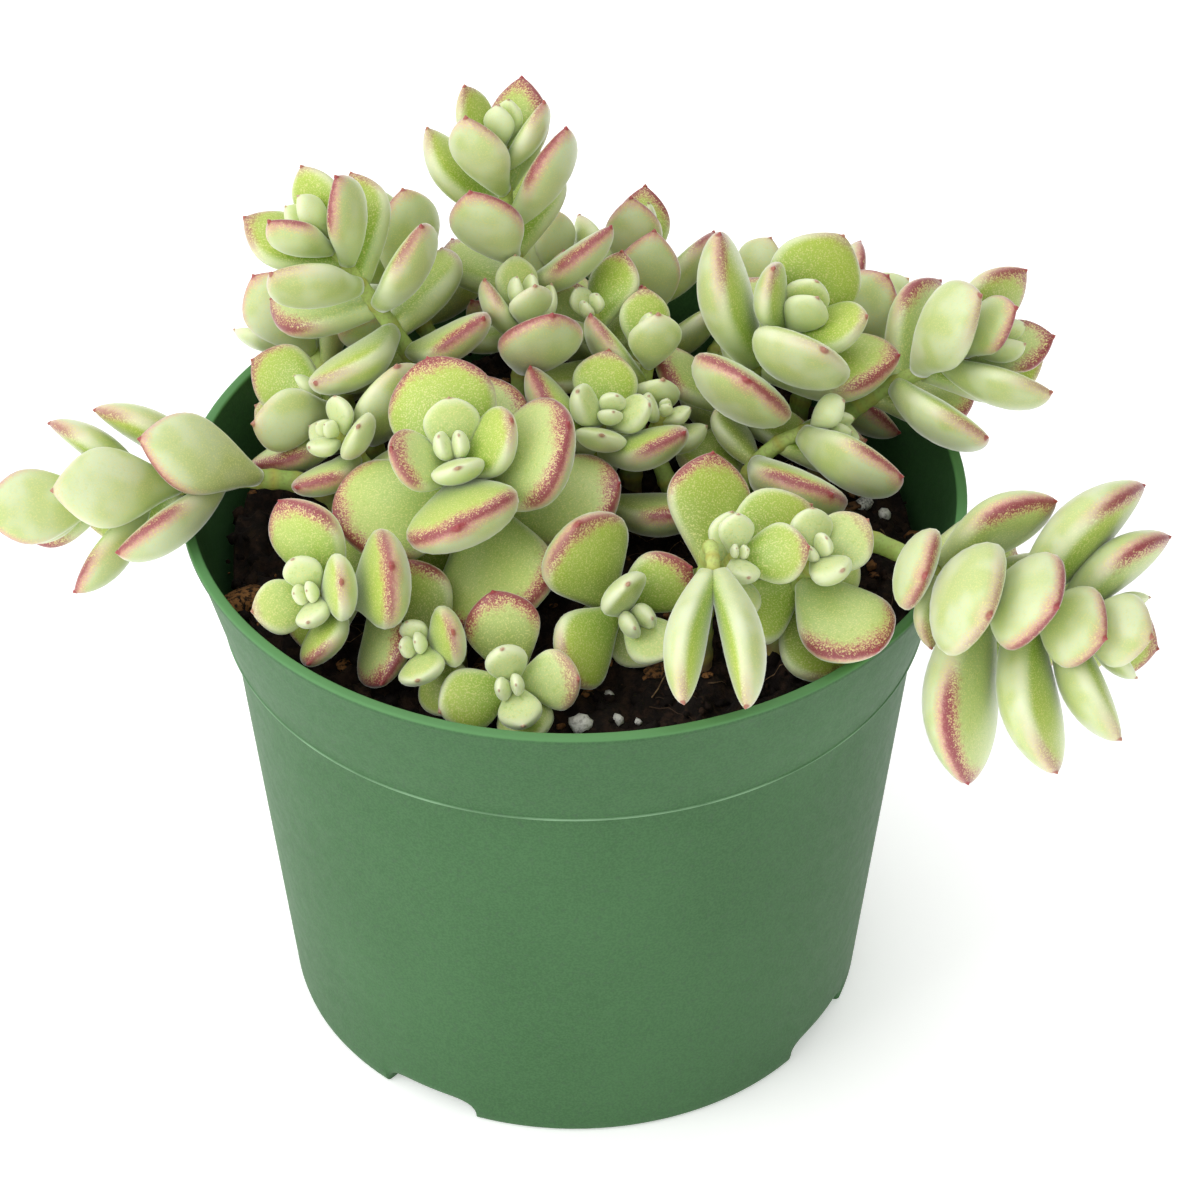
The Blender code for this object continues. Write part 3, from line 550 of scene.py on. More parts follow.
class Look:
    """A material whose nodes are added and joined by short calls. A value is a number or a socket."""

    def __init__(self, name, **constants):
        self.material = bpy.data.materials.new(name)
        self.material.use_nodes = True
        self.tree = self.material.node_tree
        self.shader = self.tree.nodes["Principled BSDF"]
        for socket, value in constants.items():
            self.shader.inputs[socket.replace("_", " ")].default_value = value
        self.place = self.node("TexCoord").outputs["Object"]

    def node(self, kind, **settings):
        """A new shader node of a kind, with its settings."""
        node = self.tree.nodes.new("ShaderNode" + kind)
        for name, value in settings.items():
            setattr(node, name, value)
        return node

    def put(self, socket, value):
        """Links a socket to an input, or gives the input a number or a colour."""
        if isinstance(value, bpy.types.NodeSocket):
            self.tree.links.new(value, socket)
        elif socket.type == "RGBA" and len(value) == 3:
            socket.default_value = (*value, 1)
        else:
            socket.default_value = value

    def set(self, socket, value):
        """Gives the shader's own socket a value."""
        self.put(self.shader.inputs[socket], value)

    def attribute(self, name):
        """The number that the mesh holds under this name at each point."""
        return self.node("Attribute", attribute_name=name).outputs["Fac"]

    def height(self):
        """Height above the pot's foot, in metres."""
        node = self.node("SeparateXYZ")
        self.put(node.inputs[0], self.place)
        return node.outputs["Z"]

    def number(self, operation, *values):
        """What a Math node makes of one or two values."""
        node = self.node("Math", operation=operation)
        for socket, value in zip(node.inputs, values):
            self.put(socket, value)
        return node.outputs[0]

    def sum(self, first, second):
        """The two values added."""
        return self.number("ADD", first, second)

    def product(self, *values):
        """All the values multiplied together."""
        result = values[0]
        for value in values[1:]:
            result = self.number("MULTIPLY", result, value)
        return result

    def rise(self, value, low, high, first=0.0, last=1.0):
        """A smooth step from first, where value is at low, to last, where it is at high."""
        node = self.node("MapRange", interpolation_type="SMOOTHSTEP")
        for name, given in zip(("Value", "From Min", "From Max", "To Min", "To Max"),
                               (value, low, high, first, last)):
            self.put(node.inputs[name], given)
        return node.outputs[0]

    def noise(self, size, detail, roughness=0.5):
        """Noise from 0 to 1 whose lumps are about this many millimetres across."""
        node = self.node("TexNoise")
        for name, given in (("Vector", self.place), ("Scale", 1 / (size * MM)),
                            ("Detail", detail), ("Roughness", roughness)):
            self.put(node.inputs[name], given)
        return node.outputs[0]

    def patches(self, size, detail, low, high, first=0.0, last=1.0, roughness=0.5):
        """Noise taken through a smooth step."""
        return self.rise(self.noise(size, detail, roughness), low, high, first, last)

    def cells(self, size):
        """Distance, in cells, to the nearest of points about this many millimetres apart."""
        node = self.node("TexVoronoi")
        self.put(node.inputs["Vector"], self.place)
        self.put(node.inputs["Scale"], 1 / (size * MM))
        return node.outputs["Distance"]

    def mix(self, share, first, second):
        """The first colour, or the second one where share is 1."""
        node = self.node("Mix", data_type="RGBA", clamp_factor=True)
        for index, value in ((0, share), (6, first), (7, second)):
            self.put(node.inputs[index], value)
        return node.outputs[2]

    def layers(self, colour, *over):
        """A colour with others laid over it in turn, each by its share."""
        for share, above in over:
            colour = self.mix(share, colour, above)
        return colour

    def paint(self, *layers):
        """Gives the shader its base colour: a first colour and those laid over it."""
        self.set("Base Color", self.layers(*layers))

    def bump(self, height, depth, strength):
        """Bumps from a height of 0 to 1, this many millimetres deep."""
        node = self.node("Bump")
        for name, given in (("Strength", strength), ("Distance", depth * MM), ("Height", height)):
            self.put(node.inputs[name], given)
        self.set("Normal", node.outputs[0])


def closed_faces(rows, sides):
    """Faces of a closed tube of rows by sides points, which its first and its last end point follow."""
    side = np.arange(sides)
    after = (side + 1) % sides
    low = sides * np.arange(rows - 1)[:, None]
    high = low + sides
    quads = np.stack([low + side, low + after, high + after, high + side], -1).reshape(-1, 4)
    start, last_row = np.full(sides, rows * sides), (rows - 1) * sides
    first = np.stack([start, after, side], -1)
    last = np.stack([start + 1, last_row + side, last_row + after], -1)
    return quads, np.concatenate([first, last])


def repeated(faces, count, points):
    """The same faces for each of count shapes of this many points."""
    return (faces + points * np.arange(count)[:, None, None]).reshape(-1, faces.shape[1])


def new_mesh(name, points, faces, look, values=None):
    """A smooth mesh object from points in millimetres, with its values at each point as attributes."""
    mesh = bpy.data.meshes.new(name)
    mesh.from_pydata(points * MM, [], [face for group in faces for face in group.tolist()])
    for key, value in (values or {}).items():
        layer = mesh.attributes.new(key, "FLOAT", "POINT")
        layer.data.foreach_set("value", np.ascontiguousarray(value, np.float32).ravel())
    mesh.materials.append(look)
    mesh.shade_smooth()
    obj = bpy.data.objects.new(name, mesh)
    bpy.context.scene.collection.objects.link(obj)
    return obj


def add_piece(name, points, faces, look, values=None, node=None):
    """A piece on the root body: its mesh, with the node that it replaces hidden."""
    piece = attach(new_mesh(name, points, faces, look, values), "root")
    if node:
        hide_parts(node)
    return piece


def around(count):
    """This many angles evenly round a turn."""
    return np.linspace(0, 2 * np.pi, count, endpoint=False)


def on_circle(turn):
    """Points (cos, sin, 0) of the unit circle at the angles."""
    return np.stack([np.cos(turn), np.sin(turn), 0 * turn], -1)


def rings(centres, first, second, radius, sides):
    """Circles round centres: the first direction times the cosine and the second times the sine."""
    turn = around(sides)[:, None]
    ring = first[..., None, :] * np.cos(turn) + second[..., None, :] * np.sin(turn)
    return centres[..., None, :] + radius[..., None, None] * ring


def corner(radius, height, size, start, end, count):
    """Points (radius, height) of a small arc between two angles in degrees."""
    turn = np.radians(np.linspace(start, end, count))
    return np.stack([radius + size * np.cos(turn), height + size * np.sin(turn)], 1)


def straight(first, last, count):
    """Points (radius, height) from first towards last, without last."""
    return first + (np.array(last, float) - first) * np.linspace(0, 1, count, endpoint=False)[:, None]


def body_radius(z):
    """Outer radius of the pot's body at height z."""
    return FOOT_RADIUS + (BODY_TOP_RADIUS - FOOT_RADIUS) * z / COLLAR_FOOT_Z


def pot_section():
    """The pot's section: from under its floor's middle out, up the outside, over the lip and in again."""
    lip_foot = POT_HEIGHT - LIP_DROP
    lip_in = RIM_RADIUS - LIP_WIDTH
    collar_foot = COLLAR_FOOT_RADIUS - COLLAR_FOOT_INSET
    shelf = COLLAR_FOOT_RADIUS - WALL
    body_in = BODY_TOP_RADIUS - WALL
    floor_wall = body_radius(FLOOR_BEND_Z) - WALL
    return np.concatenate([
        straight((FLOOR_MIDDLE, FLOOR_UNDER_Z), (FOOT_RING_INNER, FLOOR_UNDER_Z), 5),
        straight((FOOT_RING_INNER, FLOOR_UNDER_Z), (FOOT_RING_INNER, 0.0), 5),
        straight((FOOT_RING_INNER, 0.0), (FOOT_RADIUS - FOOT_ROUND, 0.0), 3),
        corner(FOOT_RADIUS - FOOT_ROUND, FOOT_ROUND, FOOT_ROUND, -90, -5, 6),
        straight((body_radius(FOOT_WALL_Z), FOOT_WALL_Z), (body_radius(NOTCH_CLEAR_Z), NOTCH_CLEAR_Z), 5),
        straight((body_radius(NOTCH_CLEAR_Z), NOTCH_CLEAR_Z), (BODY_TOP_RADIUS, LEDGE_FOOT_Z), 14),
        corner(BODY_TOP_RADIUS + LEDGE_ROUND, COLLAR_FOOT_Z - LEDGE_ROUND, LEDGE_ROUND, 180, 90, 4),
        corner(collar_foot, COLLAR_FOOT_Z + COLLAR_FOOT_ROUND, COLLAR_FOOT_ROUND, -90, 70, 5),
        straight((COLLAR_EDGE_RADIUS, COLLAR_EDGE_Z), (COLLAR_TOP_RADIUS, lip_foot - LIP_STEP_DRAFT), 8),
        corner(COLLAR_TOP_RADIUS + LIP_CORNER, lip_foot - LIP_CORNER, LIP_CORNER, 180, 90, 3),
        corner(RIM_RADIUS - LIP_FOOT_ROUND, lip_foot + LIP_FOOT_ROUND, LIP_FOOT_ROUND, -90, 0, 3),
        corner(RIM_RADIUS - LIP_ROUND, POT_HEIGHT - LIP_ROUND, LIP_ROUND, 0, 90, 5),
        corner(lip_in + LIP_ROUND, POT_HEIGHT - LIP_ROUND, LIP_ROUND, 90, 180, 4),
        straight((lip_in - LIP_INNER_DRAFT, POT_HEIGHT - LIP_INNER_DROP), (shelf, INNER_STEP_TOP_Z), 8),
        straight((shelf, INNER_STEP_TOP_Z), (body_in, INNER_STEP_FOOT_Z), 3),
        straight((body_in, INNER_STEP_FOOT_Z), (floor_wall, FLOOR_BEND_Z), 8),
        corner(floor_wall - FLOOR_ROUND, FLOOR_BEND_Z, FLOOR_ROUND, 0, -90, 5),
        straight((FLOOR_FLAT, FLOOR_TOP_Z), (FLOOR_MIDDLE, FLOOR_TOP_Z), 4),
    ])


def notch_rise(turn, height):
    """How high the foot's edge is lifted at an angle: a low arch with a flat top and steep round ends."""
    off = (turn - NOTCH_FIRST_ANGLE + NOTCH_PITCH / 2) % NOTCH_PITCH - NOTCH_PITCH / 2
    return height * np.clip(1 - np.abs(off / NOTCH_HALF_ANGLE) ** NOTCH_SQUARENESS, 0, 1) ** 0.5


def notch_centres():
    """Angles of the notches' middles, and of the drain holes."""
    return NOTCH_FIRST_ANGLE + NOTCH_PITCH * np.arange(NOTCH_COUNT)


def pot_angles():
    """Angles of the pot's columns: evenly round, and closer together at the ends of the notches."""
    ends = 1 - NOTCH_END_STEPS
    close = NOTCH_HALF_ANGLE * np.concatenate([-ends, ends])
    extra = (notch_centres()[:, None] + close).ravel() % (2 * np.pi)
    even = around(POT_COLUMNS)
    apart = np.abs(even[:, None] - extra).min(1) > LEAST_COLUMN_ANGLE
    return np.sort(np.concatenate([even[apart], extra]))


def make_pot(pot):
    """The pot's section carried round Z, with its foot's edge lifted by the notches, and drain holes cut."""
    section = pot_section()
    turn = pot_angles()
    radius, z = section[:, :1], section[:, 1:]
    lift = notch_rise(turn, pot.notch_height / MM) * np.clip(1 - z / FLOOR_UNDER_Z, 0, 1)
    points = np.stack([radius * np.cos(turn), radius * np.sin(turn), z + lift], -1).reshape(-1, 3)
    points = np.concatenate([points, [[0, 0, FLOOR_UNDER_Z], [0, 0, FLOOR_TOP_Z]]])
    faces = closed_faces(len(section), len(turn))
    piece = add_piece("nursery_pot", points, faces, pot_plastic(pot), node="pot")
    cut_drains(piece)
    piece.data.set_sharp_from_angle(angle=POT_SHARP_ANGLE)


def cut_drains(piece):
    """Cuts the round drain holes through the pot's floor."""
    centres = DRAIN_DISTANCE * on_circle(notch_centres())
    ring = DRAIN_RADIUS * on_circle(around(DRAIN_SIDES))
    low, high = [0, 0, DRAIN_CUT_FOOT_Z], [0, 0, DRAIN_CUT_TOP_Z]
    plug = np.concatenate([ring + low, ring + high, [low, high]])
    points = (centres[:, None] + plug).reshape(-1, 3)
    faces = [repeated(group, NOTCH_COUNT, len(plug)) for group in closed_faces(2, DRAIN_SIDES)]
    cutter = new_mesh("drain_cutter", points, faces, piece.data.materials[0])
    modifier = piece.modifiers.new("Drains", "BOOLEAN")
    modifier.object = cutter
    modifier.operation = "DIFFERENCE"
    modifier.solver = "EXACT"
    graph = bpy.context.evaluated_depsgraph_get()
    cut = bpy.data.meshes.new_from_object(piece.evaluated_get(graph))
    piece.modifiers.clear()
    piece.data = cut
    bpy.data.objects.remove(cutter, do_unlink=True)


def pot_plastic(pot):
    """Moulded green plastic: satin, finely speckled, with a painted highlight on the lip's flat top and a
    painted highlight along the foot of the collar.
    """
    look = Look("pot_plastic", Roughness=0.5, Specular_IOR_Level=0.2)
    height = look.height()
    # The lip's flat top, where a highlight is painted
    lip = look.rise(height, LIP_FADE_Z * MM, LIP_BRIGHT_Z * MM)
    start, full, fading, end = (z * MM for z in COLLAR_HIGHLIGHT_Z)
    # Band where a highlight is painted along the foot of the collar
    edge = look.product(look.rise(height, start, full), look.rise(height, end, fading))
    look.paint(
        pot.colour,
        (look.patches(45, 2, 0.3, 0.7), pot.colour_worn),
        (look.patches(0.5, 3, 0.35, 0.65, 0.0, 0.2), pot.colour_lip_highlight_and_speckles),
        (look.patches(1.3, 2, 0.58, 0.7, 0.0, 0.3), pot.colour_grey),
        # painted highlight on the lip's flat top
        (look.product(lip, 0.9), pot.colour_lip_highlight_and_speckles),
        # painted highlight along the foot of the collar, uneven along its length
        (look.product(edge, look.patches(14, 2, 0.3, 0.7, 0.35, 0.85)), pot.colour_collar_highlight),
    )
    look.set("Roughness", look.patches(3, 3, 0.3, 0.7, 0.5, 0.57))
    look.bump(look.noise(0.7, 3), 0.03, 0.3)
    return look.material


def soil_side(z):
    """Radius of the soil's side at height z, a small gap inside the pot's wall."""
    body = body_radius(z) - WALL
    return (body if z < INNER_STEP_FOOT_Z else min(body, collar_inner_radius(z))) - SOIL_GAP


def soil_relief(x, y):
    """Small lumps of the soil's surface: many crossing waves of random direction, length and phase."""
    draw = np.random.default_rng(RELIEF_SEED)
    angle, phase = draw.uniform(0, 2 * np.pi, (2, RELIEF_WAVES))
    length = draw.uniform(*RELIEF_LENGTHS, RELIEF_WAVES)
    kx, ky = 2 * np.pi / length * np.cos(angle), 2 * np.pi / length * np.sin(angle)
    waves = np.sin(kx * x[..., None] + ky * y[..., None] + phase) * length**0.8
    return RELIEF_HEIGHT * waves.sum(-1)


def soil_height(x, y):
    """Height of the crumbly surface, kept near the part's own soil."""
    return soil_z(x, y) + np.clip(soil_relief(x, y), RELIEF_LOWEST, RELIEF_HIGHEST)


def make_soil(soil):
    """A closed body whose top is a height over a disc, and whose side and underside follow the pot."""
    low = FLOOR_TOP_Z + SOIL_GAP
    side_z = np.array([low, low + SOIL_FOOT_CHAMFER, COLLAR_FOOT_Z - 4, SOIL_EDGE_Z - 3])
    side = np.array([soil_side(z) for z in side_z])
    side[0] -= SOIL_FOOT_CHAMFER
    top = soil_side(SOIL_EDGE_Z) * np.sqrt(np.linspace(1, 0, SOIL_ROWS, endpoint=False))
    radius = np.concatenate([side, top])[:, None]
    turn = around(SOIL_COLUMNS)
    x, y = radius * np.cos(turn), radius * np.sin(turn)
    rows = len(side)
    z = np.concatenate([np.repeat(side_z[:, None], SOIL_COLUMNS, 1), soil_height(x[rows:], y[rows:])])
    points = np.stack([x, y, z], -1).reshape(-1, 3)
    middle = soil_height(np.zeros(1), np.zeros(1))[0]
    points = np.concatenate([points, [[0, 0, low], [0, 0, middle]]])
    faces = closed_faces(len(radius), SOIL_COLUMNS)
    add_piece("soil_surface", points, faces, soil_look(soil), node="soil")


def soil_look(soil):
    """Near-black damp peat: crumbs of several sizes, brown patches and rare pale specks."""
    look = Look("potting_soil", Roughness=0.9, Specular_IOR_Level=0.25)
    specks = look.rise(look.cells(1.6), 0.0, 0.14, 1.0, 0.0)
    look.paint(
        soil.colour,
        (look.patches(3.0, 5, 0.42, 0.66, roughness=0.65), soil.colour_brown),
        (look.product(specks, look.patches(4, 1, 0.6, 0.7), 0.5), soil.colour_bark),
    )
    look.bump(look.noise(1.1, 6, 0.7), 0.9, 1.0)
    return look.material


def turns(count, draw):
    """Random rotation matrices, from random unit quaternions."""
    drawn = draw.normal(size=(count, 4))
    w, x, y, z = (drawn / np.linalg.norm(drawn, axis=1)[:, None]).T
    return np.stack([
        1 - 2 * (y * y + z * z), 2 * (x * y - z * w), 2 * (x * z + y * w),
        2 * (x * y + z * w), 1 - 2 * (x * x + z * z), 2 * (y * z - x * w),
        2 * (x * z - y * w), 2 * (y * z + x * w), 1 - 2 * (x * x + y * y),
    ], 1).reshape(-1, 3, 3)


def lump(rows, sides, squareness):
    """Points of a unit ball with its poles last, each coordinate to a power: one under 1 makes it blocky."""
    height = np.linspace(-0.9, 0.9, rows)
    turn = around(sides)
    ring = np.sqrt(1 - height**2)[:, None]
    ball = np.stack([ring * np.cos(turn), ring * np.sin(turn), height[:, None] + 0 * turn], -1)
    ball = np.concatenate([ball.reshape(-1, 3), [[0, 0, -1.0], [0, 0, 1.0]]])
    return np.sign(ball) * np.abs(ball) ** squareness


def scatter(name, places, sizes, look, draw, rows=3, sides=6, squareness=1.0, rough=0.25, flat=False):
    """Lumps of random turn and form at places on the soil: a shape with its points moved in and out.

    A flat lump is spun about Z and tipped a little about X, and any other one is turned freely.
    """
    shape = lump(rows, sides, squareness)
    count = len(places)
    wild = 1 + rough * draw.uniform(-1, 1, (count, len(shape), 1))
    local = shape * wild * sizes[:, None, :]
    turn = turns(count, draw)
    if flat:
        turn = turned_about(2, draw.uniform(0, 2 * np.pi, count))
        turn = turn @ turned_about(0, draw.uniform(-0.35, 0.35, count))
    points = np.einsum("nij,npj->npi", turn, local) + places[:, None, :]
    faces = [repeated(group, count, len(shape)) for group in closed_faces(rows, sides)]
    chance = np.repeat(draw.uniform(0, 1, count), len(shape))
    add_piece(name, points.reshape(-1, 3), faces, look, {"chance": chance})


def turned_about(axis, angle):
    """Rotation matrices by angles about an axis: 0 is X and 2 is Z."""
    first, second = (axis + 1) % 3, (axis + 2) % 3
    turn = np.zeros((len(angle), 3, 3))
    turn[:, axis, axis] = 1
    turn[:, first, first], turn[:, first, second] = np.cos(angle), -np.sin(angle)
    turn[:, second, first], turn[:, second, second] = np.sin(angle), np.cos(angle)
    return turn


def on_soil(count, draw, reach, sunk):
    """Random places on the soil's surface within a reach of its middle, evenly over its area."""
    radius = reach * np.sqrt(draw.uniform(0, 1, count))
    angle = draw.uniform(0, 2 * np.pi, count)
    x, y = radius * np.cos(angle), radius * np.sin(angle)
    return np.stack([x, y, soil_height(x, y) - sunk], 1)


def above_soil(place, rise):
    """A point at a place (x, y), above the part's own soil."""
    return [*place, soil_z(*place) + rise]


def make_crumbs(soil):
    """Peat crumbs, most of them small: sizes grow with the square of an even draw."""
    draw = np.random.default_rng(CRUMB_SEED)
    places = on_soil(soil.crumbs, draw, CRUMB_REACH, 0.2)
    sizes = draw.uniform(0.35, 1.0, (soil.crumbs, 1)) ** 2 * 1.9 * draw.uniform(0.7, 1.2, (soil.crumbs, 3))
    scatter("soil_crumbs", places, sizes, crumb_look(soil), draw)


def crumb_look(soil):
    """Peat crumbs from black to brown, and a few of them bark."""
    look = Look("peat_crumbs", Roughness=0.9, Specular_IOR_Level=0.2)
    chance = look.attribute("chance")
    look.paint(
        soil.colour,
        (look.rise(chance, 0.5, 1.0), soil.colour_brown),
        (look.product(look.rise(chance, 0.93, 0.95), 0.8), soil.colour_bark),
        (look.patches(0.6, 3, 0.3, 0.7, 0.0, 0.5), soil.colour),
    )
    look.bump(look.noise(0.4, 3), 0.3, 0.8)
    return look.material


def make_chips(soil):
    """Bark chips: blocky flakes, the first of them the large one at the front left."""
    draw = np.random.default_rng(CHIP_SEED)
    places = on_soil(soil.chips, draw, CHIP_REACH, -0.4)
    sizes = draw.uniform(0.8, 3.0, (soil.chips, 1)) * [1.25, 0.75, 0.3]
    places[0], sizes[0] = above_soil(LARGE_CHIP_PLACE, LARGE_CHIP_RISE), LARGE_CHIP_SIZE
    places[1], sizes[1] = above_soil(FLAT_CHIP_PLACE, FLAT_CHIP_RISE), FLAT_CHIP_SIZE
    scatter("bark_chips", places, sizes, bark_look(soil), draw, 4, 8, 0.55, 0.12, flat=True)


def bark_look(soil):
    """Composted bark: ochre-brown wood with dark grain and pits."""
    look = Look("bark", Roughness=0.85, Specular_IOR_Level=0.2)
    look.paint(
        soil.colour_bark,
        (look.rise(look.attribute("chance"), 0.1, 0.8), soil.colour_brown),
        (look.patches(1.0, 5, 0.45, 0.6, roughness=0.7), soil.colour),
    )
    look.bump(look.noise(0.6, 4), 0.4, 0.9)
    return look.material


def make_fibres(soil):
    """Fine roots and peat fibres: thin tubes along short arcs that lie on the soil and hump a little."""
    draw = np.random.default_rng(FIBRE_SEED)
    count, rows, sides = soil.fibres, 6, 4
    start = on_soil(count, draw, FIBRE_REACH, -0.3)
    heading, bend = draw.uniform(0, 2 * np.pi, count), draw.uniform(-1.6, 1.6, count)
    length = draw.uniform(3, 13, count)
    share = np.linspace(0, 1, rows)
    angle = heading[:, None] + bend[:, None] * share
    x = start[:, :1] + np.cumsum(np.cos(angle), 1) * (length / rows)[:, None]
    y = start[:, 1:2] + np.cumsum(np.sin(angle), 1) * (length / rows)[:, None]
    inside = np.hypot(x, y).max(1) < FIBRE_LIMIT
    x, y, angle = x[inside], y[inside], angle[inside]
    hump = draw.uniform(0, 1.6, len(x))[:, None] * np.sin(np.pi * share)
    line = np.stack([x, y, soil_height(x, y) + 0.25 + hump], -1)
    thick = draw.uniform(0.09, 0.24, len(x))[:, None] * (1 - 0.6 * share)
    aside = np.stack([-np.sin(angle), np.cos(angle), 0 * angle], -1)
    tube = rings(line, aside, np.array([0, 0, 1.0]), thick, sides)
    points = np.concatenate([tube.reshape(len(x), -1, 3), line[:, :1], line[:, -1:]], 1)
    faces = [repeated(group, len(x), points.shape[1]) for group in closed_faces(rows, sides)]
    chance = np.repeat(draw.uniform(0, 1, len(x)), points.shape[1])
    points = points.reshape(-1, 3)
    add_piece("soil_fibres", points, faces, fibre_look(soil), {"chance": chance})


def fibre_look(soil):
    """Fine roots from brown to straw, stained in patches."""
    look = Look("peat_fibres", Roughness=0.75, Specular_IOR_Level=0.3)
    look.paint(
        soil.colour_brown,
        (look.attribute("chance"), soil.colour_fibre),
        (look.patches(1.5, 3, 0.4, 0.6, 0.0, 0.6), soil.colour_brown),
    )
    return look.material


def make_perlite(soil):
    """White perlite grains: those that the photograph shows, the first a large one, and more by a draw."""
    draw = np.random.default_rng(PERLITE_SEED)
    x, y = np.array(PERLITE_PLACES).T
    shown = np.stack([x, y, soil_height(x, y) + 0.5], 1)
    places = np.concatenate([shown, on_soil(PERLITE_MORE, draw, PERLITE_REACH, -0.3)])
    sizes = draw.uniform(0.6, 1.35, (len(places), 1)) * draw.uniform(0.8, 1.2, (len(places), 3))
    sizes[0] = PERLITE_CHUNK
    scatter("perlite", places, sizes, perlite_look(soil), draw, 5, 8, 0.8, 0.18)


def perlite_look(soil):
    """Porous white grains, stained a little by the peat."""
    look = Look("perlite", Roughness=0.8, Specular_IOR_Level=0.3)
    look.paint(soil.colour_perlite, (look.patches(0.8, 4, 0.5, 0.75, 0.0, 0.55), soil.colour_brown))
    look.bump(look.cells(0.35), 0.25, 0.7)
    return look.material


def make_pebble(soil):
    """The grey pebble beside the right-hand stems: a smooth flattened ball."""
    draw = np.random.default_rng(PEBBLE_SEED)
    places = np.array([above_soil(PEBBLE_PLACE, PEBBLE_RISE)])
    scatter("grey_pebble", places, np.array([PEBBLE_SIZE]), stone_look(soil), draw, 9, 16, 0.9, 0.04)


def stone_look(soil):
    """Grey stone with a fine pale grain."""
    look = Look("grey_stone", Roughness=0.6, Specular_IOR_Level=0.35)
    look.paint(soil.colour_stone, (look.patches(0.5, 4, 0.3, 0.7), soil.colour_perlite))
    look.bump(look.noise(0.4, 3), 0.15, 0.6)
    return look.material


def leaf_rows():
    """Places along a leaf, closer together towards its tip."""
    share = np.linspace(0, 1, LEAF_ROWS)
    return LEAF_START + LEAF_REACH * (1 - (1 - share) ** ROW_CROWDING)


def leaf_surface(leaf, wild):
    """The leaf's grid: an ellipse round its curved midrib, flatter on its inner side, and twisted.

    The rows after the last one of the leaf's body are rings of the small cone at its tip.
    """
    u = leaf_rows()
    bend, twist, lean = wild[0] * LEAF_BEND, wild[1] * LEAF_TWIST, 1 + LEAF_LEAN * wild[2]
    x, z, angle = leaf.midrib(u)
    aside = bend * leaf.length * np.sin(np.pi * 0.5 * u) ** 2
    middle = leaf.root + x[:, None] * leaf.ahead + z[:, None] * leaf.inward + aside[:, None] * leaf.across
    normal = -np.sin(angle)[:, None] * leaf.ahead + np.cos(angle)[:, None] * leaf.inward
    cos, sin = np.cos(twist * u)[:, None], np.sin(twist * u)[:, None]
    across, normal = cos * leaf.across + sin * normal, cos * normal - sin * leaf.across
    turn = around(LEAF_SIDES)
    keel = np.abs(np.sin(turn)) ** (1 + KEEL * u[:, None] ** 2) * np.sign(np.sin(turn))
    depth = np.where(np.sin(turn) > 0, INNER_SHARE, 2 - INNER_SHARE) * keel
    wide = half_width(u**lean, leaf.point)[:, None] * leaf.width / 2 * np.cos(turn)
    deep = np.maximum(half_thickness(u) * leaf.thickness() / 2, LEAST_HALF_THICKNESS * (u < 0.97))
    deep = deep[:, None] * depth
    body = middle[:, None] + wide[..., None] * across[:, None] + deep[..., None] * normal[:, None]
    return np.concatenate([body, mucro_rings(leaf, middle[-1], across[-1], normal[-1])]), u


def mucro_rings(leaf, end, across, normal):
    """Rings of the small cone at the leaf's tip, which leans a little towards the inner side."""
    size = MUCRO * min(1, leaf.length / FULL_POINT_LENGTH)
    rise = MUCRO_HEIGHTS * size
    centres = end + rise[:, None] * np.cross(across, normal) + (0.5 * rise**2)[:, None] * normal
    return rings(centres, across, normal, MUCRO_RADII * size, LEAF_SIDES)


def margin_distance(grid):
    """Distance of each point from the leaf's margin, round its section: above 0 inside, below 0 outside."""
    loop = np.concatenate([grid, grid[:, :1]], 1)
    walked = np.cumsum(np.linalg.norm(np.diff(loop, axis=1), axis=2), 1)
    walked = np.concatenate([np.zeros((len(grid), 1)), walked], 1)
    half = grid.shape[1] // 2
    inner = np.minimum(walked[:, :half + 1], walked[:, half:half + 1] - walked[:, :half + 1])
    outer = walked[:, half:] - walked[:, half:half + 1]
    outer = np.minimum(outer, outer[:, -1:] - outer)
    return np.concatenate([inner, -outer[:, 1:-1]], 1)


def leaf_values(leaf, grid, u, wild, order):
    """What the leaf's skin reads at each point: place along it, distance from the margin, age and chance."""
    cone = np.ones(len(grid) - len(u))
    share = np.concatenate([u, cone])
    ahead = leaf.length * (1 - share) + 0.25
    spot = POINT_COLOUR_REACH * min(1, leaf.length / FULL_POINT_LENGTH)
    tip = np.concatenate([np.clip(1 - leaf.length * (1 - u) / spot, 0, 1) * 0.8, cone])
    ridge = margin_distance(grid)
    ridge = np.sign(ridge) * np.minimum(np.abs(ridge), ahead[:, None])
    age = np.clip((leaf.length - YOUNG_LENGTH) / (GROWN_LENGTH - YOUNG_LENGTH), 0, 1)
    over = np.ones(grid.shape[:2])
    values = {
        "along": share[:, None] * over,
        "ridge": ridge,
        "inner": ridge / (leaf.width * 0.5),
        "tip": tip[:, None] * over,
        "age": age * over,
        "chance": (wild[3] + 1) / 2 * over,
        "order": order * over,
    }
    ends = {"along": (0, 1), "ridge": (1, 0), "inner": (0.5, 0), "tip": (0, 1)}
    return {
        key: np.concatenate([value.ravel(), ends.get(key, (value[0, 0], value[0, 0]))])
        for key, value in values.items()
    }


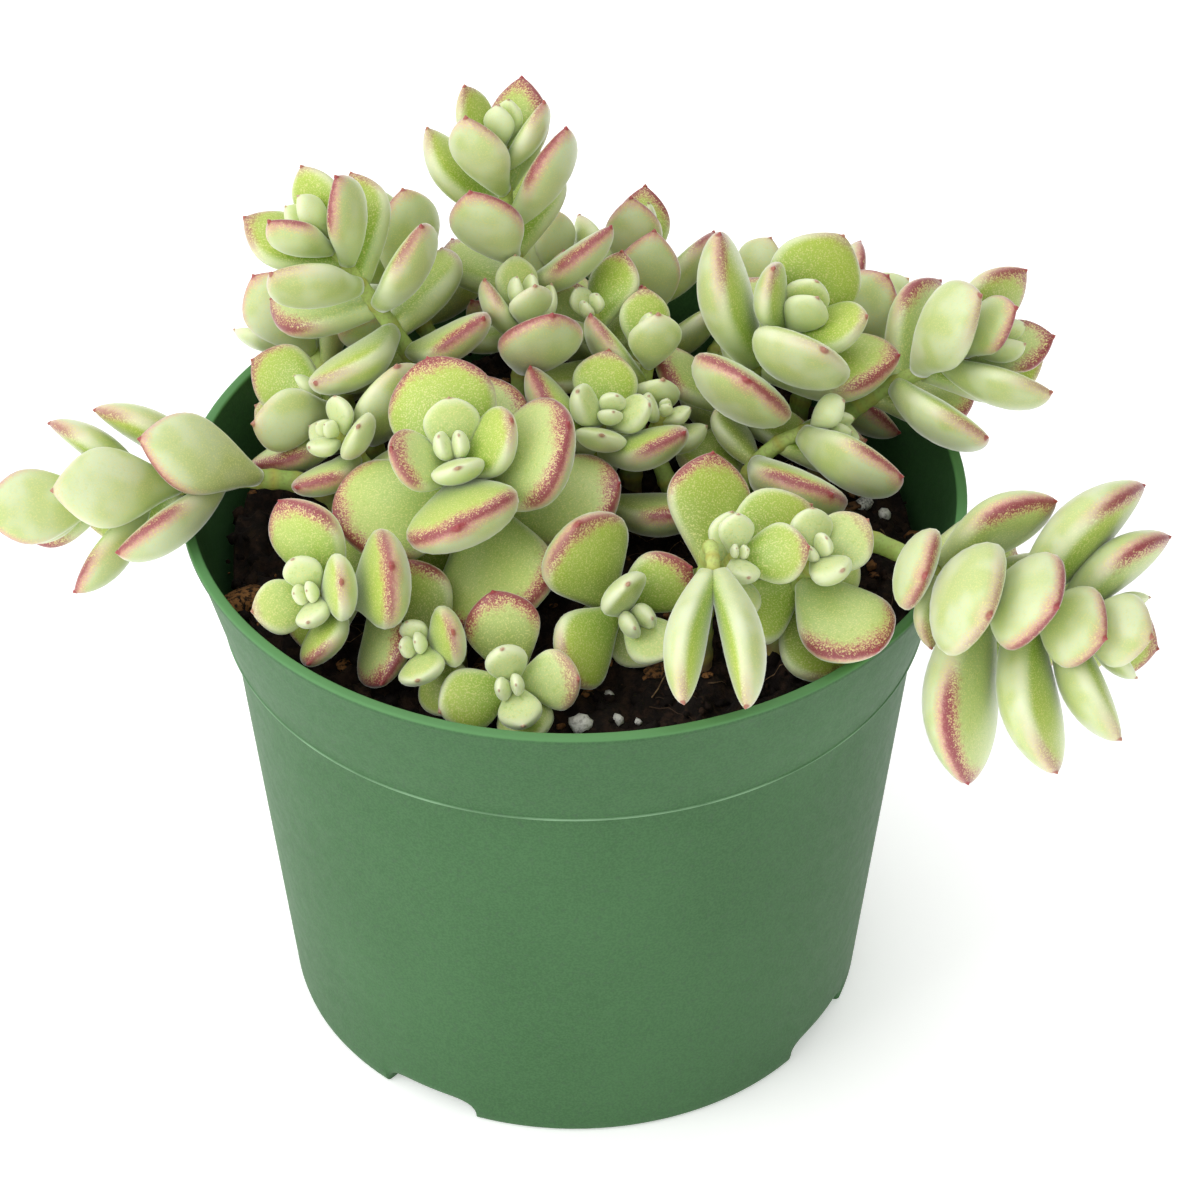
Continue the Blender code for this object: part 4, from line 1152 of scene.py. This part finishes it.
def make_leaves(shoot, look, draw):
    """All the leaves of one shoot as one piece, each a closed body of its own."""
    points, values = [], []
    for leaf in shoot.leaves:
        wild = draw.uniform(-1, 1, 4)
        grid, u = leaf_surface(leaf, wild)
        end = grid[-1].mean(0)
        tip = end + 0.25 * (end - grid[-2].mean(0))
        points.append(np.concatenate([grid.reshape(-1, 3), [leaf.root, tip]]))
        values.append(leaf_values(leaf, grid, u, wild, leaf.pair / max(1, len(shoot.lengths) - 1)))
    faces = closed_faces(LEAF_ROWS + len(MUCRO_RADII), LEAF_SIDES)
    faces = [repeated(group, len(points), len(points[0])) for group in faces]
    joined = {key: np.concatenate([each[key] for each in values]) for key in values[0]}
    add_piece(shoot.name + "_leaves", np.concatenate(points), faces, look, joined, node=shoot.name)


def leaf_skin(leaf):
    """Waxy leaf skin: lime inside, paler and greyer outside, with a speckled red band along the margin."""
    look = Look(
        "leaf_skin", Roughness=0.5, Specular_IOR_Level=0.4, Subsurface_Weight=0.4,
        Subsurface_Radius=(1.0, 1.2, 0.5), Subsurface_Scale=0.0022,
        Sheen_Weight=1.0, Sheen_Roughness=0.3, Sheen_Tint=(0.97, 1.0, 0.96, 1),
        Coat_Weight=0.45, Coat_Roughness=0.35,
    )
    names = ("along", "ridge", "inner", "tip", "age", "chance", "order")
    at = SimpleNamespace(**{name: look.attribute(name) for name in names})
    at.fine, at.grain, at.broad = look.noise(0.32, 1, 0.6), look.noise(0.9, 2, 0.6), look.noise(7, 1)
    wide, core = leaf_band(look, at)
    dots = look.product(look.rise(at.fine, 0.52, 0.62), look.rise(core, 1.0, 0.3),
                        look.rise(wide, 0.05, 0.4), 0.7)
    point = look.product(look.rise(at.tip, 0.4, 0.9), look.rise(at.age, 0.1, 0.6, 0.6, 0.7))
    look.paint(
        leaf_flesh(look, leaf, at),
        (look.product(wide, 0.75), leaf.colour_blush),
        (look.product(core, 0.88), leaf.colour_margin),
        (dots, leaf.colour_granule),
        (point, leaf.colour_point),
    )
    look.set("Roughness", look.rise(at.grain, 0.3, 0.7, 0.42, 0.56))
    look.bump(look.sum(look.product(at.fine, 0.6), look.product(at.grain, 0.4)), 0.12, 0.4)
    return look.material


def leaf_flesh(look, leaf, at):
    """The green of a leaf, by side, age and place along it, with pale grains and a painted glow of light
    along its thin rim.
    """
    inside = look.rise(at.inner, -0.1, 0.25)
    lime = look.mix(look.rise(at.along, 0.25, 1.0), leaf.colour_deep, leaf.colour_lime)
    old = look.product(look.rise(at.order, 0.7, 1.05), look.rise(at.along, 0.95, 0.2), 0.6)
    granules = look.product(look.rise(at.fine, 0.5, 0.66), look.rise(inside, 0, 1, 0.55, 0.7))
    dark = look.product(look.rise(at.grain, 0.46, 0.3), look.rise(inside, 0, 1, 0.08, 0.3))
    # Mask near the margin for a painted glow of light through the thin rim
    margin = look.rise(look.number("ABSOLUTE", at.ridge), 2.4, 0.2)
    return look.layers(
        leaf.colour_outside,
        (look.rise(at.broad, 0.35, 0.65), leaf.colour_bloom),
        (look.product(inside, 0.92), lime),
        (look.rise(at.chance, 0.55, 1.0, 0.0, 0.4), leaf.colour_bloom),
        (look.product(look.rise(at.age, 0.1, 0.7, 1.0, 0.0), 0.8), leaf.colour_young),
        (old, leaf.colour_old),
        (granules, leaf.colour_granule),
        (dark, leaf.colour_deep),
        # painted glow of light through the thin rim, fading towards the root
        (look.product(margin, look.rise(at.along, 0.1, 0.5), 0.55), leaf.colour_painted_rim_glow),
    )


def leaf_band(look, at):
    """How blushed and how deep red the margin is: ragged inwards and soft outwards, and fading rootwards.

    The band starts further up on a young leaf and on a leaf of low chance, and it is widest near the tip.
    Distances from the margin are in millimetres.
    """
    start = look.number("SUBTRACT", 1.03, look.rise(at.age, 0.25, 0.85, 0.04, 0.58))
    start = look.sum(start, look.product(look.number("SUBTRACT", 0.5, at.chance), 0.5))
    reach = look.rise(at.along, start, look.sum(start, 0.45))
    ragged = look.sum(look.product(look.number("SUBTRACT", at.fine, 0.5), 5.2),
                      look.product(look.number("SUBTRACT", at.grain, 0.5), 3.0))
    moved = look.sum(at.ridge, ragged)
    strong = look.product(look.rise(at.chance, 0.05, 0.6, 0.4, 1.0), look.rise(at.age, 0.42, 0.7))
    edge = look.sum(look.product(reach, 3.0), 0.2)
    inward = look.rise(moved, look.sum(edge, 1.3), look.number("SUBTRACT", edge, 1.6))
    outward = look.rise(look.sum(at.ridge, look.product(ragged, 0.3)), -3.0, -0.6)
    wide = look.product(inward, outward, reach, strong)
    inner_core = look.rise(moved, look.product(edge, 1.05), look.product(edge, 0.15))
    outer_core = look.rise(look.sum(at.ridge, look.product(ragged, 0.4)), -1.3, 0.4)
    core = look.product(inner_core, outer_core, look.rise(reach, 0.25, 0.95), strong)
    return wide, core


def bells(distance, reach):
    """The highest of bell curves, each the exponential of minus a distance over a reach, squared."""
    return np.exp(-((distance / reach) ** 2)).max(1)


def make_stem(shoot, look):
    """A tube along the stem's path: it tapers, swells at leaf pairs and old scars, and has a round tip."""
    path = stem_path(shoot)
    reach = along(path)
    stops = np.concatenate([[0, STEM_DEPTH], np.linspace(STEM_DEPTH, reach[-1], STEM_ROWS)[1:]])
    line = np.stack([np.interp(stops, reach, path[:, i]) for i in range(3)], 1)
    share = stops / reach[-1]
    steps = [(PAIR_STEP + PAIR_STEP_SHARE * size) * shoot.spacing for size in shoot.lengths[:-1]]
    pairs = reach[-1] - (TIP_BACK + np.cumsum([0] + steps))
    bare = stops[:, None] - pairs.min()
    ring = bells(stops[:, None] - pairs, RING_REACH)
    scar = bells(bare % SCAR_PITCH - SCAR_PITCH / 2, SCAR_REACH) * (stops < pairs.min())
    radius = stem_radius(share) * (1 + RING_SWELL * ring + SCAR_SWELL * scar)
    radius[-1] *= 0.6
    ahead = np.gradient(line, axis=0)
    ahead /= np.linalg.norm(ahead, axis=1)[:, None]
    level = np.cross([0.3, 1.0, 0.1], ahead)
    level /= np.linalg.norm(level, axis=1)[:, None]
    tube = rings(line, level, np.cross(ahead, level), radius, STEM_SIDES)
    points = np.concatenate([tube.reshape(-1, 3), [line[0], line[-1] + 0.5 * ahead[-1]]])
    values = {
        "share": np.concatenate([np.repeat(share, STEM_SIDES), [0, 1]]),
        "ring": np.concatenate([np.repeat(np.maximum(ring, scar), STEM_SIDES), [0, 0]]),
    }
    faces = closed_faces(len(stops), STEM_SIDES)
    add_piece(shoot.name + "_stem", points, faces, look, values, node=shoot.name)


def stem_skin(stem):
    """Stem skin: corky at the foot, then green and yellow-green, with olive rings at the leaf pairs."""
    look = Look("stem_skin", Roughness=0.6, Specular_IOR_Level=0.3, Subsurface_Weight=0.1,
                Subsurface_Radius=(1.0, 1.2, 0.4), Subsurface_Scale=0.001)
    share = look.attribute("share")
    woody = look.rise(look.sum(share, look.product(look.noise(3, 3), 0.2)), 0.22, 0.5)
    look.paint(
        stem.colour_foot,
        (woody, look.mix(look.rise(share, 0.4, 0.95), stem.colour_green, stem.colour_tip)),
        (look.product(look.attribute("ring"), 0.65), stem.colour_ring),
        (look.patches(0.7, 3, 0.45, 0.7, 0.0, 0.3), stem.colour_foot),
    )
    look.bump(look.noise(0.8, 3), 0.2, 0.5)
    return look.material


def make_floor(stage):
    """A wide pale square just under the pot's foot, which gives off a little light."""
    half, z = stage.floor_size / 2, -FLOOR_DROP
    corners = [(-half, -half, z), (half, -half, z), (half, half, z), (-half, half, z)]
    mesh = bpy.data.meshes.new("floor")
    mesh.from_pydata(corners, [], [(0, 1, 2, 3)])
    look = Look("pale_floor", Roughness=0.8, Specular_IOR_Level=0.2, Emission_Strength=stage.floor_glow,
                Emission_Color=(1, 1, 1, 1))
    look.paint(stage.floor_colour, (look.patches(40, 2, 0.3, 0.7, 0.0, 0.3), FLOOR_CLOUD))
    mesh.materials.append(look.material)
    floor = bpy.data.objects.new("floor", mesh)
    bpy.context.scene.collection.objects.link(floor)


def add_light(name, place, power):
    """A soft square light at a place, turned towards the plant's middle."""
    light = bpy.data.lights.new(name, "AREA")
    light.size = LIGHT_SIZE
    light.energy = power
    obj = bpy.data.objects.new(name, light)
    obj.location = place
    away = np.array(place) - LIGHT_AIM
    obj.rotation_euler = (math.atan2(math.hypot(away[0], away[1]), away[2]), 0,
                          math.atan2(away[1], away[0]) + math.pi / 2)
    bpy.context.scene.collection.objects.link(obj)


def make_lights(stage):
    """White surroundings that are dimmer on the right, and three soft lamps."""
    world = bpy.data.worlds.new("studio")
    world.use_nodes = True
    nodes, links = world.node_tree.nodes, world.node_tree.links
    background = nodes["Background"]
    background.inputs["Strength"].default_value = stage.ambient
    direction = nodes.new("ShaderNodeTexCoord")
    split = nodes.new("ShaderNodeSeparateXYZ")
    ramp = nodes.new("ShaderNodeMapRange")
    ramp.interpolation_type = "SMOOTHSTEP"
    ramp.inputs["From Min"].default_value = DIM_FROM_X
    ramp.inputs["To Min"].default_value = 1.0
    ramp.inputs["To Max"].default_value = stage.right_share
    links.new(direction.outputs["Generated"], split.inputs[0])
    links.new(split.outputs["X"], ramp.inputs["Value"])
    links.new(ramp.outputs[0], background.inputs["Color"])
    bpy.context.scene.world = world
    for name, place in LIGHT_PLACES.items():
        add_light(name + "_light", place, getattr(stage, name + "_power"))


def make_camera(stage):
    """The photograph's camera: in front of the plant and above it, looking down at its middle."""
    down = stage.camera_elevation
    camera = bpy.data.cameras.new("photograph")
    camera.lens = stage.lens
    camera.sensor_width = CAMERA_SENSOR
    camera.clip_start, camera.clip_end = CAMERA_CLIP
    obj = bpy.data.objects.new("photograph", camera)
    distance = stage.camera_distance
    obj.location = (CAMERA_AIM[0], -distance * math.cos(down), CAMERA_AIM[2] + distance * math.sin(down))
    obj.rotation_euler = (math.pi / 2 - down, 0, 0)
    bpy.context.scene.collection.objects.link(obj)
    bpy.context.scene.camera = obj


def number(name, description, default, **more):
    """A plain number, angle or power that the user can change."""
    return bpy.props.FloatProperty(name=name, description=description, default=default, **more)


def length(name, description, default):
    """A length in metres."""
    return number(name, description, default, min=0, subtype="DISTANCE", unit="LENGTH")


def power(name, description, default):
    """A lamp's power in watts."""
    return number(name, description, default, min=0, unit="POWER")


def colour(name, description, *default):
    """A colour, whose default is given by its display values out of 255."""
    return bpy.props.FloatVectorProperty(name=name, description=description, default=shade(*default),
                                         min=0, max=1, size=3, subtype="COLOR")


def amount(name, description, default):
    """A whole number of like things."""
    return bpy.props.IntProperty(name=name, description=description, default=default, min=0)


class PotSettings(bpy.types.PropertyGroup):
    notch_height: length("Notch height", "How high the foot's notches are", 0.0046)
    colour: colour("Green", "Colour of the moulded plastic", 57, 95, 57)
    colour_worn: colour("Worn green", "Colour where the plastic is a little paler", 62, 101, 62)
    # The lip's painted highlight, and the plastic's finest real speckles
    colour_lip_highlight_and_speckles: colour("Lip green", "Colour of the lip and of the finest speckles", 92, 142, 88)
    colour_grey: colour("Grey", "Specks in the plastic", 66, 88, 68)
    # The painted highlight along the foot of the collar
    colour_collar_highlight: colour("Edge", "Worn lower edge of the collar", 132, 170, 132)


class SoilSettings(bpy.types.PropertyGroup):
    crumbs: amount("Crumbs", "How many peat crumbs lie on the soil", 1500)
    chips: amount("Bark chips", "How many bark chips lie on the soil", 70)
    fibres: amount("Fibres", "How many fine roots and fibres lie on the soil", 170)
    colour: colour("Peat", "Colour of damp peat", 26, 19, 16)
    colour_brown: colour("Brown peat", "Colour of dry peat", 58, 41, 31)
    colour_bark: colour("Bark", "Colour of fresh bark", 150, 104, 62)
    colour_fibre: colour("Fibre", "Colour of fine roots", 158, 128, 92)
    colour_perlite: colour("Perlite", "Colour of perlite grains", 232, 230, 224)
    colour_stone: colour("Stone", "Colour of the pebble", 96, 96, 98)


class LeafSettings(bpy.types.PropertyGroup):
    colour_lime: colour("Lime", "Inner side of a grown leaf", 180, 200, 68)
    colour_deep: colour("Deep green", "Inner side near the root", 146, 180, 54)
    colour_outside: colour("Outer green", "Outer side of a leaf", 190, 206, 134)
    colour_bloom: colour("Bloom", "Pale wax on the outer side", 208, 220, 176)
    # The painted glow of light through a leaf's thin edge
    colour_painted_rim_glow: colour("Rim", "Pale edge of a leaf, where light comes through it", 230, 236, 204)
    colour_young: colour("Young green", "Leaves at the tip of a shoot", 216, 228, 180)
    colour_old: colour("Old green", "Foot of the oldest leaves", 152, 164, 80)
    colour_granule: colour("Granules", "Finest pale specks of the skin", 220, 218, 144)
    colour_blush: colour("Blush", "Soft edge of the red band", 206, 118, 120)
    colour_margin: colour("Maroon", "Middle of the red band", 138, 38, 56)
    colour_point: colour("Point", "The small point at a leaf's tip", 150, 34, 44)


class StemSettings(bpy.types.PropertyGroup):
    colour_foot: colour("Foot", "Corky skin near the soil", 128, 104, 72)
    colour_green: colour("Green", "Skin of the stem's middle", 150, 176, 92)
    colour_tip: colour("Tip", "Skin of the youngest stem", 192, 210, 122)
    colour_ring: colour("Rings", "Rings at the leaf pairs", 172, 158, 66)


class StageSettings(bpy.types.PropertyGroup):
    floor_size: length("Floor size", "Side of the floor", 8.0)
    floor_colour: colour("Floor", "Colour of the floor", 254, 254, 254)
    floor_glow: number("Floor glow", "How much light the floor gives off", 0.35)
    lens: number("Lens", "Focal length in millimetres", 150)
    camera_distance: length("Camera distance", "From the plant's middle to the camera", 1.069)
    camera_elevation: number("Camera elevation", "How steeply the camera looks down", math.radians(38.82),
                             subtype="ANGLE", unit="ROTATION")
    ambient: number("Ambient", "Strength of the white surroundings", 1.02)
    right_share: number("Right side", "Share of the surroundings' light that comes from the right", 0.15)
    key_power: power("Key light", "Power of the light at the upper left", 7)
    top_power: power("Top light", "Power of the light overhead", 3)
    front_power: power("Front light", "Power of the light in front", 2)


class PotOperator(bpy.types.Operator):
    """Makes the nursery pot"""

    bl_idname = "cotyledon.pot"
    bl_label = "Pot"

    def execute(self, context):
        make_pot(context.scene.cotyledon_pot)
        return {"FINISHED"}


class SoilOperator(bpy.types.Operator):
    """Makes the soil's surface"""

    bl_idname = "cotyledon.soil"
    bl_label = "Soil"

    def execute(self, context):
        make_soil(context.scene.cotyledon_soil)
        return {"FINISHED"}


class CrumbsOperator(bpy.types.Operator):
    """Strews peat crumbs on the soil"""

    bl_idname = "cotyledon.crumbs"
    bl_label = "Peat crumbs"

    def execute(self, context):
        make_crumbs(context.scene.cotyledon_soil)
        return {"FINISHED"}


class ChipsOperator(bpy.types.Operator):
    """Strews bark chips on the soil"""

    bl_idname = "cotyledon.chips"
    bl_label = "Bark chips"

    def execute(self, context):
        make_chips(context.scene.cotyledon_soil)
        return {"FINISHED"}


class FibresOperator(bpy.types.Operator):
    """Lays fine roots and fibres on the soil"""

    bl_idname = "cotyledon.fibres"
    bl_label = "Fibres"

    def execute(self, context):
        make_fibres(context.scene.cotyledon_soil)
        return {"FINISHED"}


class GrainsOperator(bpy.types.Operator):
    """Puts the perlite grains and the pebble on the soil"""

    bl_idname = "cotyledon.grains"
    bl_label = "Perlite and pebble"

    def execute(self, context):
        make_perlite(context.scene.cotyledon_soil)
        make_pebble(context.scene.cotyledon_soil)
        return {"FINISHED"}


class LeavesOperator(bpy.types.Operator):
    """Grows the leaves of every shoot"""

    bl_idname = "cotyledon.leaves"
    bl_label = "Leaves"

    def execute(self, context):
        grow(SHOOTS)
        look = leaf_skin(context.scene.cotyledon_leaf)
        draw = np.random.default_rng(SKIN_SEED)
        for shoot in SHOOTS:
            make_leaves(shoot, look, draw)
        return {"FINISHED"}


class StemsOperator(bpy.types.Operator):
    """Makes the stem of every shoot"""

    bl_idname = "cotyledon.stems"
    bl_label = "Stems"

    def execute(self, context):
        look = stem_skin(context.scene.cotyledon_stem)
        for shoot in SHOOTS:
            make_stem(shoot, look)
        return {"FINISHED"}


class StageOperator(bpy.types.Operator):
    """Makes the floor, the lights and the photograph's camera"""

    bl_idname = "cotyledon.stage"
    bl_label = "Stage"

    def execute(self, context):
        stage = context.scene.cotyledon_stage
        make_floor(stage)
        make_lights(stage)
        make_camera(stage)
        context.scene.view_settings.view_transform = "Standard"
        return {"FINISHED"}


class CotyledonPanel(bpy.types.Panel):
    """Lists the pieces of the potted cotyledon"""

    bl_idname = "COTYLEDON_PT_pieces"
    bl_label = "Potted cotyledon"
    bl_space_type = "VIEW_3D"
    bl_region_type = "UI"
    bl_category = "Cotyledon"

    def draw(self, context):
        for operator in OPERATORS:
            self.layout.operator(operator.bl_idname)
        for key, group in SETTINGS.items():
            box = self.layout.box()
            box.label(text=group.__name__.removesuffix("Settings"))
            for name in group.__annotations__:
                box.prop(getattr(context.scene, key), name)


SETTINGS = {
    "cotyledon_pot": PotSettings,
    "cotyledon_soil": SoilSettings,
    "cotyledon_leaf": LeafSettings,
    "cotyledon_stem": StemSettings,
    "cotyledon_stage": StageSettings,
}
OPERATORS = (
    PotOperator, SoilOperator, CrumbsOperator, ChipsOperator, FibresOperator, GrainsOperator,
    LeavesOperator, StemsOperator, StageOperator,
)


def register():
    """Makes the classes known to Blender, and puts each group of settings on the scene."""
    for each in (*SETTINGS.values(), *OPERATORS, CotyledonPanel):
        bpy.utils.register_class(each)
    for key, group in SETTINGS.items():
        setattr(bpy.types.Scene, key, bpy.props.PointerProperty(type=group))


def unregister():
    """Takes the settings and the classes away again."""
    for key in SETTINGS:
        delattr(bpy.types.Scene, key)
    for each in (CotyledonPanel, *OPERATORS, *SETTINGS.values()):
        bpy.utils.unregister_class(each)


def main():
    """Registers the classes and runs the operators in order."""
    register()
    for make in ("pot", "soil", "crumbs", "chips", "fibres", "grains", "leaves", "stems", "stage"):
        getattr(bpy.ops.cotyledon, make)()


if __name__ == "__main__":
    main()
